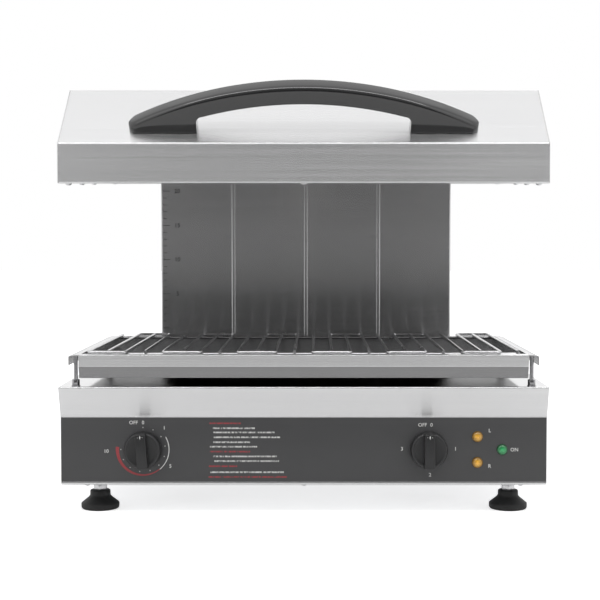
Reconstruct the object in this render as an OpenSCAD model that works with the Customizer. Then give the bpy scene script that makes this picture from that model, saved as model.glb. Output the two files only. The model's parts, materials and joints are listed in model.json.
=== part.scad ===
// Rise-and-fall cheese melter: a base with controls, a fixed tower behind,
// and a heated hood that slides up and down the tower over a rack and a drip tray.
// Millimetres, +Z up, the front towards -Y. The origin is the middle of the footprint.

/* [Base] */
// Width of the base and of the hood
body_w = 600; // [596:1:640]
// Depth of the base behind the lip of the hood
base_rear = 480; // [476:1:500]
// How far the top front edge of the base stands in front of the lip
base_lead = 10; // [6:0.5:16]
// Height of the base casing
base_h = 123.5; // [118:0.5:140]
// Thickness of the folded casing sheet
sheet_t = 1.2; // [1:0.1:1.6]
// Outer radius of a fold
fold_r = 3; // [2:0.5:4]
// Height of the leaning band over the control panel
band_h = 38.5; // [32:0.5:42]
// How far the band leans back down to the panel
band_back = 16.2; // [12:0.2:20]
// Thickness of the control panel
fascia_t = 1; // [0.8:0.1:2]
// Bare steel under the control panel
lip_bare = 5; // [3:0.5:8]
// Width of the inward flanges under the base
base_flange = 18; // [14:1:22]

/* [Feet] */
// Height of the base above the floor
foot_h = 37.5; // [36:0.5:46]
// Distance of each foot from the side of the base
foot_inset = 41.5; // [34:0.5:60]
// Distance of the front feet behind the lip
foot_front = 53.5; // [45:0.5:70]
// Distance of the rear feet in front of the rear panel
foot_rear = 50; // [40:1:70]
// Radius of a foot pad
pad_r = 24; // [20:0.5:28]
// Radius of a foot stud
stud_r = 5; // [4:0.5:6]

/* [Controls] */
// Height of the knob centres above the bottom of the base
knob_z = 44.5; // [40:0.5:48]
// Distance of the timer knob from the left side
timer_inset = 102; // [70:1:150]
// Distance of the mode knob from the right side
mode_inset = 146; // [130:1:180]
// Radius of a knob
knob_r = 23; // [19:0.5:25]
// Depth of the knob's skirt
knob_skirt = 12; // [10:0.5:14]
// Depth of the grip bar in front of the skirt
knob_bar_h = 9; // [6:0.5:12]
// Width of the grip bar
knob_bar_w = 13; // [10:0.5:15]
// Turn of the timer knob's pointer from upright, against the clock
timer_turn = 4; // [0:1:20]
// Radius of a knob spindle
spindle_r = 3; // [2.5:0.1:3.5]
// Radius of a lamp lens
lamp_r = 7; // [6:0.2:8]
// Distance of the amber lamps from the right side
amber_inset = 86; // [80:1:95]
// Half the height between the amber lamps
amber_dz = 16; // [12:0.5:20]
// Distance of the green lamp from the right side
green_inset = 55.5; // [45:0.5:62]

/* [Tower] */
// Distance of the tower's front behind the lip
tower_front = 339; // [337:1:345]
// Distance of the tower's sides from the sides of the base
tower_inset = 88; // [84:1:100]
// Depth of the tower
tower_d = 130; // [126:1:134]
// Height of the tower above the base
tower_h = 363; // [360:1:366]
// Width of a pressed rib
rib_w = 6; // [4:0.5:9]
// Height of a pressed rib
rib_h = 1.2; // [0.6:0.1:1.6]
// Radius of a guide rod
rod_r = 7; // [6:0.5:8]
// Distance of the guide rods from the tower's sides
rod_inset = 62; // [52:1:80]
// Distance of the gas struts from the tower's sides
strut_inset = 132; // [112:1:150]

/* [Hood] */
// Height of the lip's lower edge above the base, with the hood up
hood_gap = 248; // [246:1:250]
// Travel of the hood
hood_travel = 200; // [180:1:201]
// Height of the lip
lip_h = 49; // [44:1:56]
// Depth of the slope
slope_run = 91; // [84:1:100]
// Rise of the slope
slope_rise = 73; // [70:1:78]
// Depth of the hood
hood_d = 470; // [466:1:474]
// Rise of the underside from the lip to the rear
under_rise = 19; // [12:1:22]
// Gap between the tower and the hood round it
notch_gap = 5; // [4.5:0.5:7]
// Width of the flanges under the hood
hood_flange = 16; // [14:1:20]
// Height of the reflector over the lip's lower edge
reflector_h = 42; // [38:1:44]
// Radius of a heating tube
element_r = 4; // [3:0.25:4.5]
// Pitch of the heating tube's runs
element_pitch = 66; // [56:1:68]

/* [Handle] */
// Length of the handle
handle_l = 430; // [410:2:440]
// Height of the grip's top over the slope
handle_rise = 65.5; // [62:0.5:68]
// Radius of the grip's top
handle_arc = 445; // [435:5:460]
// Width of the grip
handle_w = 22; // [20:1:26]
// Thickness of the grip
handle_t = 24; // [20:1:25]
// Rounding of the grip's upper front edge
grip_brow = 8; // [5:0.5:9]
// Inner length between the handle's feet
handle_span = 262; // [250:2:280]
// Distance of the grip's middle line from the lower edge of the slope
handle_seat = 30; // [28:1:36]

/* [Rack and tray] */
// Distance of the tray's sides from the sides of the base
tray_inset = 24.35; // [24:0.05:30]
// Radius of the rack's wire
wire_r = 2; // [1.5:0.25:2.25]
// Depth of the drip tray
tray_d = 332; // [320:1:334]
// Height of the drip tray
tray_h = 29; // [24:1:32]
// Height of the tray's underside over the base
tray_lift = 9.5; // [9:0.5:14]
// How far the lower half of the tray's front is set back
tray_slant = 5; // [4:0.5:12]
// Sheet of the tray
tray_t = 1; // [0.8:0.1:1.4]
// Gap between the rack and the tray's sides
rack_gap = 7; // [6:0.5:8]
// Width of the rails' tops
rail_w = 11.3; // [10:0.1:12.4]
// Height of the rails' outer lip
rail_lip = 11.5; // [8:0.5:16]
// Radius of the rail studs
rail_stud_r = 2.5; // [2:0.25:3]

/* [Fits] */
// Gap between pieces that are fastened together
fit = 0.2; // [0.1:0.05:0.3]
// Radial gap of a shaft in its bearing
run_fit = 0.05; // [0.02:0.01:0.1]
// Radial gap of a screw in its hole
hole_fit = 0.3; // [0.2:0.05:0.5]
// Gap between pieces that slide past each other
slide_fit = 0.3; // [0.3:0.05:0.5]

/* [Hidden] */

$fn = 48;
steel = [0.78, 0.78, 0.79];
dark_steel = [0.5, 0.5, 0.52];
black = [0.08, 0.08, 0.09];
charcoal = [0.28, 0.28, 0.29];
bright = [0.88, 0.88, 0.9];
brass = [0.8, 0.66, 0.36];
amber = [0.95, 0.6, 0.15];
green = [0.1, 0.6, 0.3];
ceramic = [0.9, 0.88, 0.82];

// ---- Places ----
slope_a = atan(slope_rise / slope_run);
gland_out = 20;
grip_edge = 3;
// How far the grip stands in front of the lip
reach_front = (handle_rise - grip_brow) * sin(slope_a)
    - (handle_seat - handle_w / 2 + grip_brow) * cos(slope_a) + grip_brow;
lip_y = -(base_rear + gland_out - reach_front) / 2;
// The place of a point that lies d behind the lip
function back(d) = lip_y + d;

half_w = body_w / 2;
timer_x = -half_w + timer_inset;
mode_x = half_w - mode_inset;
amber_x = half_w - amber_inset;
green_x = half_w - green_inset;
base_z = foot_h;
top_z = base_z + base_h;
panel_z = top_z - band_h;
face_y = band_back - base_lead;
control_z = base_z + knob_z;
plate_z = base_z + sheet_t;
inside_z = plate_z + sheet_t;
foot_x = half_w - foot_inset;
foot_ys = [foot_front, base_rear - foot_rear];

tower_half = half_w - tower_inset;
tower_w = 2 * tower_half;
rod_x = tower_half - rod_inset;
strut_x = tower_half - strut_inset;
tower_back = tower_front + tower_d;
tower_flange = 14;
tower_top = top_z + tower_h;
plate_t = 3;
rod_y = tower_front + 84;
arm_y = tower_front + 62;
arm_t = 4;

lip_z = top_z + hood_gap;
shoulder_z = lip_z + lip_h;
crown_z = shoulder_z + slope_rise;
notch_half = tower_half + notch_gap;
notch_y = tower_front - notch_gap;
under_a = atan(under_rise / hood_d);
// Height of the hood's underside at d behind the lip
function under(d) = lip_z + under_rise * d / hood_d;
reflector_z = lip_z + reflector_h;

arm_low = reflector_z - 9;
arm_high = tower_top - 14;
bush_r = rod_r + 5;
strut_r = 11;
strut_bore = 9;
strut_rod_r = 5;
strut_head = 10;
lug_t = 6;
piston_h = 8;
rod_top = arm_high - lug_t;
strut_top = rod_top - hood_travel - 18;

rack_rods = 24;
tray_half = half_w - tray_inset;
rack_half = tray_half - tray_t - rack_gap - wire_r;
rod_pitch = 2 * rack_half / (rack_rods - 1);
tray_z = top_z + tray_lift;
rim_z = tray_z + tray_h;
rail_top = rim_z - tray_t - slide_fit;
rail_x = tray_half + slide_fit + 1.2;
rail_stud_x = rail_x + rail_stud_r + 0.2;
rail_stud_ys = [4, 281];
rack_z = rim_z + slide_fit + wire_r;

knob_back = face_y - fascia_t - 1;
knob_front = knob_back - knob_skirt - knob_bar_h;

// ---- Folded sheet ----
fold_steps = 5;
function unit(v) = v / norm(v);
function left_of(v) = [-v[1], v[0]];
function turn(a, b) = atan2(a[0] * b[1] - a[1] * b[0], a[0] * b[0] + a[1] * b[1]);
// Points of one fold at p between the directions a and b, on the line that lies
// off to the left of the sheet's face
function fold(p, a, b, r, off) =
    let (phi = turn(a, b),
         side = sign(phi),
         middle = p - a * r * tan(abs(phi) / 2) + left_of(a) * side * r,
         from = atan2(-left_of(a)[1] * side, -left_of(a)[0] * side))
    [for (k = [0:fold_steps])
        middle + (r - side * off) * [cos(from + phi * k / fold_steps), sin(from + phi * k / fold_steps)]];
// The face line of a sheet along the corners of path, moved off to its left
function sheet_line(path, r, off) =
    let (n = len(path), d = [for (i = [0:n - 2]) unit(path[i + 1] - path[i])])
    concat(
        [path[0] + left_of(d[0]) * off],
        [for (i = [1:n - 2]) each fold(path[i], d[i - 1], d[i], r, off)],
        [path[n - 1] + left_of(d[n - 2]) * off]);
function reversed(list) = [for (i = [len(list) - 1:-1:0]) list[i]];
// A sheet of thickness t folded along path, on the left of its travel
module folded(path, t, r) {
    polygon(concat(sheet_line(path, r, 0), reversed(sheet_line(path, r, t))));
}

// ---- Placing ----
// A drawing in the plane of Y and Z, drawn out along X to both sides
module across(w) {
    rotate([90, 0, 90])
        linear_extrude(height = w, center = true) children();
}
// A drawing in the plane of X and Z, drawn out backwards from y
module backwards(y, d) {
    translate([0, y + d, 0])
        rotate([90, 0, 0])
            linear_extrude(height = d) children();
}
// A block from one corner to another
module block(low, high) {
    translate(low) cube(high - low);
}
module mirrored_x() {
    children();
    mirror([1, 0, 0]) children();
}
// A pan-head screw whose shank points along +Z from the seat of its head
module pan_screw(r, length) {
    translate([0, 0, -r * 1.3]) cylinder(r = r * 2, h = r * 1.3);
    cylinder(r = r, h = length);
}
// A nut with a hole, standing on z = 0
module nut(across_corners, h, hole) {
    difference() {
        cylinder(r = across_corners / 2, h = h, $fn = 6);
        translate([0, 0, -1]) cylinder(r = hole, h = h + 2);
    }
}

// ---- Base ----
screw_r = 2;
base_path = [
    [back(base_rear), top_z], [back(-base_lead), top_z], [back(face_y), panel_z],
    [back(face_y), base_z], [back(face_y) + base_flange, base_z]];
lamp_places = [[amber_x, amber_dz], [amber_x, -amber_dz], [green_x, 0]];
knob_places = [[timer_x, 0], [mode_x, 0]];
collar_r = spindle_r + 2.5;
front_screws = [-half_w + 31, 0, half_w - 31];
front_screw_y = back(face_y) + base_flange - 7;
rear_screw_xs = [-half_w + 60, 0, half_w - 60];
gland_x = -half_w + 110;
gland_z = base_z + 42;
rear_flange = 20;
rear_screw_zs = [inside_z + 12, top_z - 14];
tower_foot_screws = [[-tower_w / 4, tower_front + tower_flange / 2], [tower_w / 4, tower_front + tower_flange / 2],
    [-tower_half + tower_flange / 2, tower_back - 22], [tower_half - tower_flange / 2, tower_back - 22]];
gland_r = 10;

// Holes in the front face for the spindle collars and lamps
module face_holes(r_add) {
    for (p = knob_places)
        translate([p[0], back(face_y) - 20, control_z + p[1]])
            rotate([-90, 0, 0]) cylinder(r = collar_r + r_add, h = 40);
    for (p = lamp_places)
        translate([p[0], back(face_y) - 20, control_z + p[1]])
            rotate([-90, 0, 0]) cylinder(r = lamp_r - 1.5 + r_add, h = 40);
}
module rear_holes() {
    for (x = rear_screw_xs, z = rear_screw_zs)
        translate([x, back(base_rear) - 5, z])
            rotate([-90, 0, 0]) cylinder(r = screw_r + hole_fit, h = 10);
}
module tower_holes(z) {
    for (p = tower_foot_screws)
        translate([p[0], back(p[1]), z]) cylinder(r = screw_r + hole_fit, h = 10);
}
module strut_holes(z, h) {
    for (side = [-1, 1])
        translate([side * strut_x, back(rod_y), z]) cylinder(r = strut_r + 1, h = h);
}

module base_housing() {
    color(steel)
    difference() {
        union() {
            across(body_w - sheet_t) folded(base_path, sheet_t, fold_r);
            // side walls and their inward flanges
            for (side = [-1, 1])
                translate([side * (half_w - sheet_t / 2), 0, 0])
                    across(sheet_t)
                        polygon(concat(sheet_line(base_path, fold_r, 0), [[back(base_rear), base_z]]));
            mirrored_x()
                block([half_w - base_flange, back(face_y) + base_flange - 1, base_z],
                      [half_w - sheet_t / 2, back(base_rear), plate_z]);
            // flange behind the rear panel's upper edge
            block([-half_w + 40, back(base_rear) - 2 * sheet_t - fit, top_z - rear_flange],
                  [half_w - 40, back(base_rear) - sheet_t - fit, top_z - sheet_t / 2]);
        }
        face_holes(hole_fit);
        rear_holes();
        tower_holes(top_z - 5);
        strut_holes(top_z - 5, 10);
        for (x = [-rail_stud_x, rail_stud_x], y = rail_stud_ys)
            translate([x, back(y), top_z - 5]) cylinder(r = rail_stud_r + hole_fit, h = 10);
        for (x = front_screws)
            translate([x, front_screw_y, base_z - 1]) cylinder(r = screw_r + hole_fit, h = 4);
        for (x = [-half_w + base_flange / 2, half_w - base_flange / 2])
            translate([x, back(base_rear - 20), base_z - 1]) cylinder(r = screw_r + hole_fit, h = 4);
    }
}

module control_panel() {
    color(charcoal)
    difference() {
        block([-half_w + 1, back(face_y) - fascia_t, base_z + lip_bare],
              [half_w - 1, back(face_y), panel_z - 1]);
        face_holes(hole_fit);
    }
}

vent_w = 4;
module base_bottom_plate() {
    color(dark_steel)
    difference() {
        union() {
            block([-half_w + sheet_t + fit, back(face_y) + fold_r + fit, plate_z],
                  [half_w - sheet_t - fit, back(base_rear) - sheet_t - fit, inside_z]);
            // flange behind the rear panel's lower edge
            block([-half_w + 40, back(base_rear) - 2 * sheet_t - fit, plate_z],
                  [half_w - 40, back(base_rear) - sheet_t - fit, inside_z + rear_flange]);
        }
        rear_holes();
        for (x = [-foot_x, foot_x], y = foot_ys)
            translate([x, back(y), plate_z - 1]) cylinder(r = stud_r + hole_fit, h = 4);
        for (x = front_screws)
            translate([x, front_screw_y, plate_z - 1]) cylinder(r = screw_r + hole_fit, h = 4);
        for (x = [-half_w + base_flange / 2, half_w - base_flange / 2])
            translate([x, back(base_rear - 20), plate_z - 1]) cylinder(r = screw_r + hole_fit, h = 4);
        // air slots under the timer and the switch
        for (side = [-1, 1], k = [0:7])
            block([side * half_w / 2 - 30, back(foot_front + 36 + k * 10), plate_z - 1],
                  [side * half_w / 2 + 30, back(foot_front + 36 + k * 10) + vent_w, inside_z + 1]);
    }
}

module base_rear_panel() {
    color(steel)
    difference() {
        block([-half_w + sheet_t + fit, back(base_rear) - sheet_t, inside_z + fit],
              [half_w - sheet_t - fit, back(base_rear), top_z - sheet_t - fit]);
        translate([gland_x, back(base_rear) - 5, gland_z])
            rotate([-90, 0, 0]) cylinder(r = gland_r + hole_fit, h = 10);
        // air slots
        for (side = [-1, 1], k = [0:5])
            block([side * 120 - 40, back(base_rear) - 5, top_z - 60 + k * 8],
                  [side * 120 + 40, back(base_rear) + 5, top_z - 60 + k * 8 + vent_w]);
        rear_holes();
    }
}

module base_screws() {
    color(bright) {
        for (x = front_screws)
            translate([x, front_screw_y, base_z]) pan_screw(screw_r, 7);
        for (x = [-half_w + base_flange / 2, half_w - base_flange / 2])
            translate([x, back(base_rear - 20), base_z]) pan_screw(screw_r, 7);
        for (x = rear_screw_xs, z = rear_screw_zs)
            translate([x, back(base_rear), z]) rotate([90, 0, 0]) pan_screw(screw_r, 7);
    }
}

insert_h = 9;
module foot_inserts() {
    color(dark_steel)
    for (x = [-foot_x, foot_x], y = foot_ys)
        translate([x, back(y), inside_z]) nut(stud_r * 3.6, insert_h, stud_r + run_fit);
}

module terminal_block() {
    color(ceramic)
    translate([gland_x - 35, back(base_rear - 70), inside_z])
        difference() {
            cube([70, 22, 20]);
            for (k = [0:4])
                translate([7 + k * 14, 11, 8]) cylinder(r = 3, h = 20);
            for (k = [0:4])
                translate([7 + k * 14, -1, 8]) rotate([-90, 0, 0]) cylinder(r = 2, h = 30);
        }
}

module cable_gland() {
    color(black)
    translate([gland_x, back(base_rear), gland_z])
        rotate([-90, 0, 0])
            difference() {
                union() {
                    translate([0, 0, -14]) cylinder(r = gland_r, h = 15);
                    cylinder(r = gland_r + 4, h = 7, $fn = 6);
                    translate([0, 0, 7]) cylinder(r = gland_r + 1, h = gland_out - 12);
                    translate([0, 0, gland_out - 5])
                        rotate_extrude()
                            polygon([[0, 0], [gland_r + 1, 0], [gland_r - 3, 5], [0, 5]]);
                    translate([0, 0, -sheet_t - 6]) cylinder(r = gland_r + 4, h = 6, $fn = 6);
                }
                translate([0, 0, -20]) cylinder(r = 5, h = 60);
            }
}

collar_h = 3;
// A spindle mechanism behind the front face, with its collar through the panel
module mechanism(w, h, d, x) {
    translate([x, back(face_y), control_z])
        difference() {
            union() {
                block([-w / 2, sheet_t + fit, -h / 2], [w / 2, d, h / 2]);
                translate([0, -fascia_t - collar_h, 0])
                    rotate([-90, 0, 0]) cylinder(r = collar_r, h = fascia_t + collar_h + sheet_t + fit + 1);
            }
            translate([0, -10, 0])
                rotate([-90, 0, 0]) cylinder(r = spindle_r + run_fit, h = d + 10 - 4);
        }
}
timer_depth = 42;
switch_depth = 50;
module timer_mechanism() {
    color(ceramic) mechanism(2 * knob_r, 2 * knob_r, timer_depth, timer_x);
}
module mode_switch() {
    color(black) mechanism(2 * knob_r - 4, 2 * knob_r - 4, switch_depth, mode_x);
}

module spindle_nuts() {
    color(bright)
    for (p = knob_places)
        translate([p[0], back(face_y) - fascia_t, control_z + p[1]])
            rotate([90, 0, 0]) nut(collar_r * 2 + 6, 2, collar_r + run_fit);
}

// A spindle from inside its mechanism to inside its knob
module spindle(x, depth) {
    translate([x, back(knob_front) + 5, control_z])
        rotate([-90, 0, 0])
            cylinder(r = spindle_r, h = face_y + depth - 5 - knob_front - 5);
}
module timer_spindle() {
    color(bright) spindle(timer_x, timer_depth);
}
module mode_spindle() {
    color(bright) spindle(mode_x, switch_depth);
}

knob_recess = 5;
// A knob with a grip bar across its skirt, its front towards -Y
module knob(x, angle) {
    translate([x, back(knob_back), control_z])
        rotate([90, 0, 0])
            rotate([0, 0, angle])
                difference() {
                    union() {
                        rotate_extrude()
                            polygon([[0, 0], [knob_r, 0], [knob_r, knob_skirt - 3],
                                     [knob_r - 1, knob_skirt - 1], [knob_r - 3, knob_skirt], [0, knob_skirt]]);
                        // the bar keeps inside the skirt's circle
                        intersection() {
                            block([-knob_bar_w / 2, -knob_r, knob_skirt - 1],
                                  [knob_bar_w / 2, knob_r, knob_skirt + knob_bar_h]);
                            rotate_extrude()
                                polygon([[0, 0], [knob_r - 0.5, 0], [knob_r - 0.5, knob_skirt + 2],
                                         [knob_r - 4, knob_skirt + knob_bar_h], [0, knob_skirt + knob_bar_h]]);
                        }
                    }
                    // hollow back over the spindle nut, and the spindle's bore
                    translate([0, 0, -1]) cylinder(r = collar_r + 6, h = knob_recess + 1);
                    translate([0, 0, -1])
                        cylinder(r = spindle_r + run_fit, h = knob_skirt + knob_bar_h - 5 + 1 + fit);
                }
}
module timer_knob() {
    color(black) knob(timer_x, timer_turn);
}
module mode_knob() {
    color(black) knob(mode_x, 0);
}

// A domed lens with its flange on the panel
module lens(p) {
    dome_r = lamp_r - 1;
    translate([p[0], back(face_y) - fascia_t, control_z + p[1]])
        rotate([90, 0, 0])
            rotate_extrude()
                polygon(concat([[0, 0], [lamp_r, 0], [lamp_r, 1], [dome_r, 1.4]],
                    [for (k = [1:5]) [dome_r * cos(k * 18), 1.4 + 2.6 * sin(k * 18)]]));
}
module lamp_lens_left() {
    color(amber) lens(lamp_places[0]);
}
module lamp_lens_right() {
    color(amber) lens(lamp_places[1]);
}
module lamp_lens_power() {
    color(green) lens(lamp_places[2]);
}
module lamp_bodies() {
    color(black)
    for (p = lamp_places)
        translate([p[0], back(face_y) - fascia_t, control_z + p[1]])
            rotate([-90, 0, 0]) {
                cylinder(r = lamp_r - 1.5, h = 26);
                translate([0, 0, fascia_t + sheet_t + fit]) cylinder(r = lamp_r + 1, h = 3);
            }
}

// ---- Tower ----
slot_w = arm_t + 10;
slot_low = arm_low - hood_travel - 6;
tower_screw_zs = [top_z + 24, (top_z + tower_top) / 2, tower_top - 24];
module tower_front_cover() {
    color(steel)
    difference() {
        union() {
            block([-tower_half, back(tower_front), top_z], [tower_half, back(tower_back), tower_top]);
            // pressed upright ribs that divide the face in four
            for (k = [-1, 0, 1])
                translate([k * tower_w / 4, back(tower_front), top_z])
                    linear_extrude(height = tower_h)
                        polygon([[-rib_w / 2, 0.5], [-rib_w / 2, 0], [-rib_w / 4, -rib_h],
                                 [rib_w / 4, -rib_h], [rib_w / 2, 0], [rib_w / 2, 0.5]]);
        }
        block([-tower_half + sheet_t, back(tower_front) + sheet_t, top_z + sheet_t],
              [tower_half - sheet_t, back(tower_back) - sheet_t, tower_top + 1]);
        // open floor inside the foot flange, and open rear inside the side flanges
        block([-tower_half + tower_flange, back(tower_front) + tower_flange, top_z - 1],
              [tower_half - tower_flange, back(tower_back) + 1, tower_top + 1]);
        // a slot in each side for the carriage's tabs
        for (side = [-1, 1])
            block([side * tower_half - 5, back(arm_y) - slot_w / 2, slot_low],
                  [side * tower_half + 5, back(arm_y) + slot_w / 2, arm_high + 4]);
        tower_rear_holes();
        tower_holes(top_z - 5);
    }
}
module tower_rear_holes() {
    for (side = [-1, 1], z = tower_screw_zs)
        translate([side * (tower_half - tower_flange / 2), back(tower_back) - 5, z])
            rotate([-90, 0, 0]) cylinder(r = screw_r + hole_fit, h = 10);
}

module tower_rear_cover() {
    color(steel)
    difference() {
        block([-tower_half + 1, back(tower_back), top_z + fit],
              [tower_half - 1, back(tower_back) + sheet_t, tower_top - fit]);
        for (side = [-1, 1], k = [0:7])
            block([side * 80 - 35, back(tower_back) - 5, tower_top - 110 + k * 9],
                  [side * 80 + 35, back(tower_back) + 5, tower_top - 110 + k * 9 + vent_w]);
        tower_rear_holes();
    }
}

module tower_screws() {
    color(bright) {
        for (side = [-1, 1], z = tower_screw_zs)
            translate([side * (tower_half - tower_flange / 2), back(tower_back) + sheet_t, z])
                rotate([90, 0, 0]) pan_screw(screw_r, 7);
        for (p = tower_foot_screws)
            translate([p[0], back(p[1]), top_z + sheet_t]) rotate([180, 0, 0]) pan_screw(screw_r, 6);
    }
}

cap_skirt = 8;
module tower_cap() {
    inset = sheet_t + fit;
    color(steel)
    difference() {
        union() {
            block([-tower_half, back(tower_front), tower_top],
                  [tower_half, back(tower_back) + sheet_t, tower_top + sheet_t]);
            block([-tower_half + inset, back(tower_front) + inset, tower_top - cap_skirt],
                  [tower_half - inset, back(tower_back) - inset, tower_top + 0.5]);
        }
        block([-tower_half + inset + sheet_t, back(tower_front) + inset + sheet_t, tower_top - cap_skirt - 1],
              [tower_half - inset - sheet_t, back(tower_back) - inset - sheet_t, tower_top]);
    }
}

module tower_foot_plate() {
    color(dark_steel)
    difference() {
        block([-rod_x - rod_r - 18, back(rod_y) - rod_r - 23, top_z],
              [rod_x + rod_r + 18, back(rod_y) + rod_r + 23, top_z + plate_t]);
        strut_holes(top_z - 1, plate_t + 2);
    }
}

head_z = tower_top - cap_skirt - fit - plate_t;
module tower_head_plate() {
    color(dark_steel)
    block([-tower_half + sheet_t + fit, back(tower_front) + sheet_t + fit, head_z],
          [tower_half - sheet_t - fit, back(tower_back) - sheet_t - fit, head_z + plate_t]);
}

module guide_rods() {
    color(bright)
    for (side = [-1, 1])
        translate([side * rod_x, back(rod_y), top_z + plate_t])
            cylinder(r = rod_r, h = head_z - top_z - plate_t);
}

module strut_cylinders() {
    color(black)
    for (side = [-1, 1])
        translate([side * strut_x, back(rod_y), 0])
            difference() {
                translate([0, 0, inside_z]) cylinder(r = strut_r, h = strut_top - inside_z);
                translate([0, 0, inside_z + 5])
                    cylinder(r = strut_bore, h = strut_top - strut_head - inside_z - 5);
                translate([0, 0, inside_z + 10])
                    cylinder(r = strut_rod_r + run_fit, h = strut_top);
            }
}

module strut_rods() {
    piston_z = strut_top - strut_head - piston_h - 1;
    color(bright)
    for (side = [-1, 1])
        translate([side * strut_x, back(rod_y), 0]) {
            translate([0, 0, piston_z]) cylinder(r = strut_rod_r, h = rod_top - piston_z);
            translate([0, 0, piston_z]) cylinder(r = strut_bore - run_fit * 2, h = piston_h);
        }
}

tab_t = notch_gap - 1;
module carriage() {
    tab_x = notch_half - fit;
    color(dark_steel)
    difference() {
        union() {
            block([-tab_x, back(arm_y) - arm_t / 2, arm_low],
                  [tab_x, back(arm_y) + arm_t / 2, arm_high]);
            // tabs outside the tower that lie on the hood's walls
            mirrored_x()
                block([tab_x - tab_t + fit, back(arm_y) - 19, arm_low],
                      [tab_x, back(arm_y) + 19, arm_high]);
            for (side = [-1, 1]) {
                // bush housings, and the webs that carry them
                translate([side * rod_x, back(rod_y), arm_low])
                    cylinder(r = bush_r + 4, h = arm_high - arm_low);
                block([side * rod_x - 10, back(arm_y), arm_low],
                      [side * rod_x + 10, back(rod_y) - bush_r, arm_high]);
                // lugs over the struts
                block([side * strut_x - 12, back(arm_y), rod_top],
                      [side * strut_x + 12, back(rod_y) + 12, arm_high]);
            }
        }
        for (side = [-1, 1])
            translate([side * rod_x, back(rod_y), arm_low - 1])
                cylinder(r = bush_r + run_fit, h = arm_high - arm_low + 2);
    }
}

bush_l = 20;
module slide_bushes() {
    color(brass)
    for (side = [-1, 1], z = [arm_low, arm_high - bush_l])
        translate([side * rod_x, back(rod_y), z])
            difference() {
                cylinder(r = bush_r, h = bush_l);
                translate([0, 0, -1]) cylinder(r = rod_r + run_fit, h = bush_l + 2);
            }
}

// ---- Rails ----
// One rail with its outer lip, on the right
module rail() {
    path = [[rail_x, rail_top], [rail_x + rail_w, rail_top], [rail_x + rail_w, rail_top - rail_lip]];
    backwards(back(0), tray_d - 6)
        polygon(concat(reversed(sheet_line(path, 1.5, 0)), sheet_line(path, 1.5, -sheet_t)));
}
module rail_right() {
    color(steel) rail();
}
module rail_left() {
    color(steel) mirror([1, 0, 0]) rail();
}
rail_nut_h = 8;
module rail_studs() {
    color(bright)
    for (x = [-rail_stud_x, rail_stud_x], y = rail_stud_ys)
        translate([x, back(y), top_z - 8])
            cylinder(r = rail_stud_r, h = rail_top - sheet_t - top_z + 8);
}
module rail_nuts() {
    color(bright)
    for (x = [-rail_stud_x, rail_stud_x], y = rail_stud_ys)
        translate([x, back(y), top_z]) nut(rail_stud_r * 3.9, rail_nut_h, rail_stud_r + run_fit);
}

// ---- Hood ----
hood_path = [
    [back(notch_y), crown_z], [back(slope_run), crown_z], [back(0), shoulder_z],
    [back(0), lip_z], [back(14), lip_z]];
hood_screw_x = half_w - 12.5;
hood_screw_ys = [105, 203, hood_d - 72];
lip_screw_xs = [-hood_screw_x, 0, hood_screw_x];
handle_foot = (handle_l - handle_span) / 2;
handle_screw_xs = [for (side = [-1, 1], share = [0.27, 0.68]) side * (handle_span / 2 + share * handle_foot)];

// Moves its children onto the slope: X along it, Y up it and Z out of it
module on_slope() {
    translate([0, back(handle_seat * cos(slope_a)), shoulder_z + handle_seat * sin(slope_a)])
        rotate([slope_a, 0, 0]) children();
}
// Moves its children onto the sloping underside at d behind the lip
module on_underside(x, d) {
    translate([x, back(d), under(d)]) rotate([under_a, 0, 0]) children();
}

module hood_wrap() {
    color(steel)
    difference() {
        union() {
            across(body_w - 2 * sheet_t - 2 * fit / 4) folded(hood_path, sheet_t, fold_r);
            // top of the two arms beside the tower
            mirrored_x()
                block([notch_half, back(notch_y) - 0.5, crown_z - sheet_t],
                      [half_w - sheet_t - fit / 4, back(hood_d), crown_z]);
        }
        for (x = handle_screw_xs)
            on_slope() translate([x, 0, -5]) cylinder(r = screw_r + 0.5 + hole_fit, h = 10);
        for (x = lip_screw_xs)
            translate([x, back(7), lip_z - 2]) cylinder(r = screw_r + hole_fit, h = 6);
    }
}

side_low = [[back(hood_d), under(hood_d)], [back(14 + fit), under(14 + fit)], [back(14 + fit), lip_z + sheet_t + fit],
            [back(sheet_t), lip_z + sheet_t + fit]];
// One side plate with its flange, on the right
module hood_side() {
    difference() {
        union() {
            translate([half_w - sheet_t / 2, 0, 0])
                across(sheet_t)
                    polygon(concat([[back(hood_d), crown_z]],
                        [for (p = sheet_line(hood_path, fold_r, 0)) if (p[1] > lip_z + fold_r - 0.1 && p[0] < back(notch_y) - 1) p],
                        [[back(0), lip_z], [back(14), lip_z], [back(hood_d), under(hood_d)]]));
            translate([half_w - hood_flange / 2, 0, 0])
                across(hood_flange - sheet_t)
                    polygon([[back(14 + fit), under(14 + fit)], [back(hood_d), under(hood_d)],
                             [back(hood_d), under(hood_d) + sheet_t], [back(14 + fit), under(14 + fit) + sheet_t]]);
        }
        for (d = hood_screw_ys)
            on_underside(hood_screw_x, d) translate([0, 0, -2]) cylinder(r = screw_r + hole_fit, h = 6);
    }
}
module hood_side_right() {
    color(steel) hood_side();
}
module hood_side_left() {
    color(steel) mirror([1, 0, 0]) hood_side();
}

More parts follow.
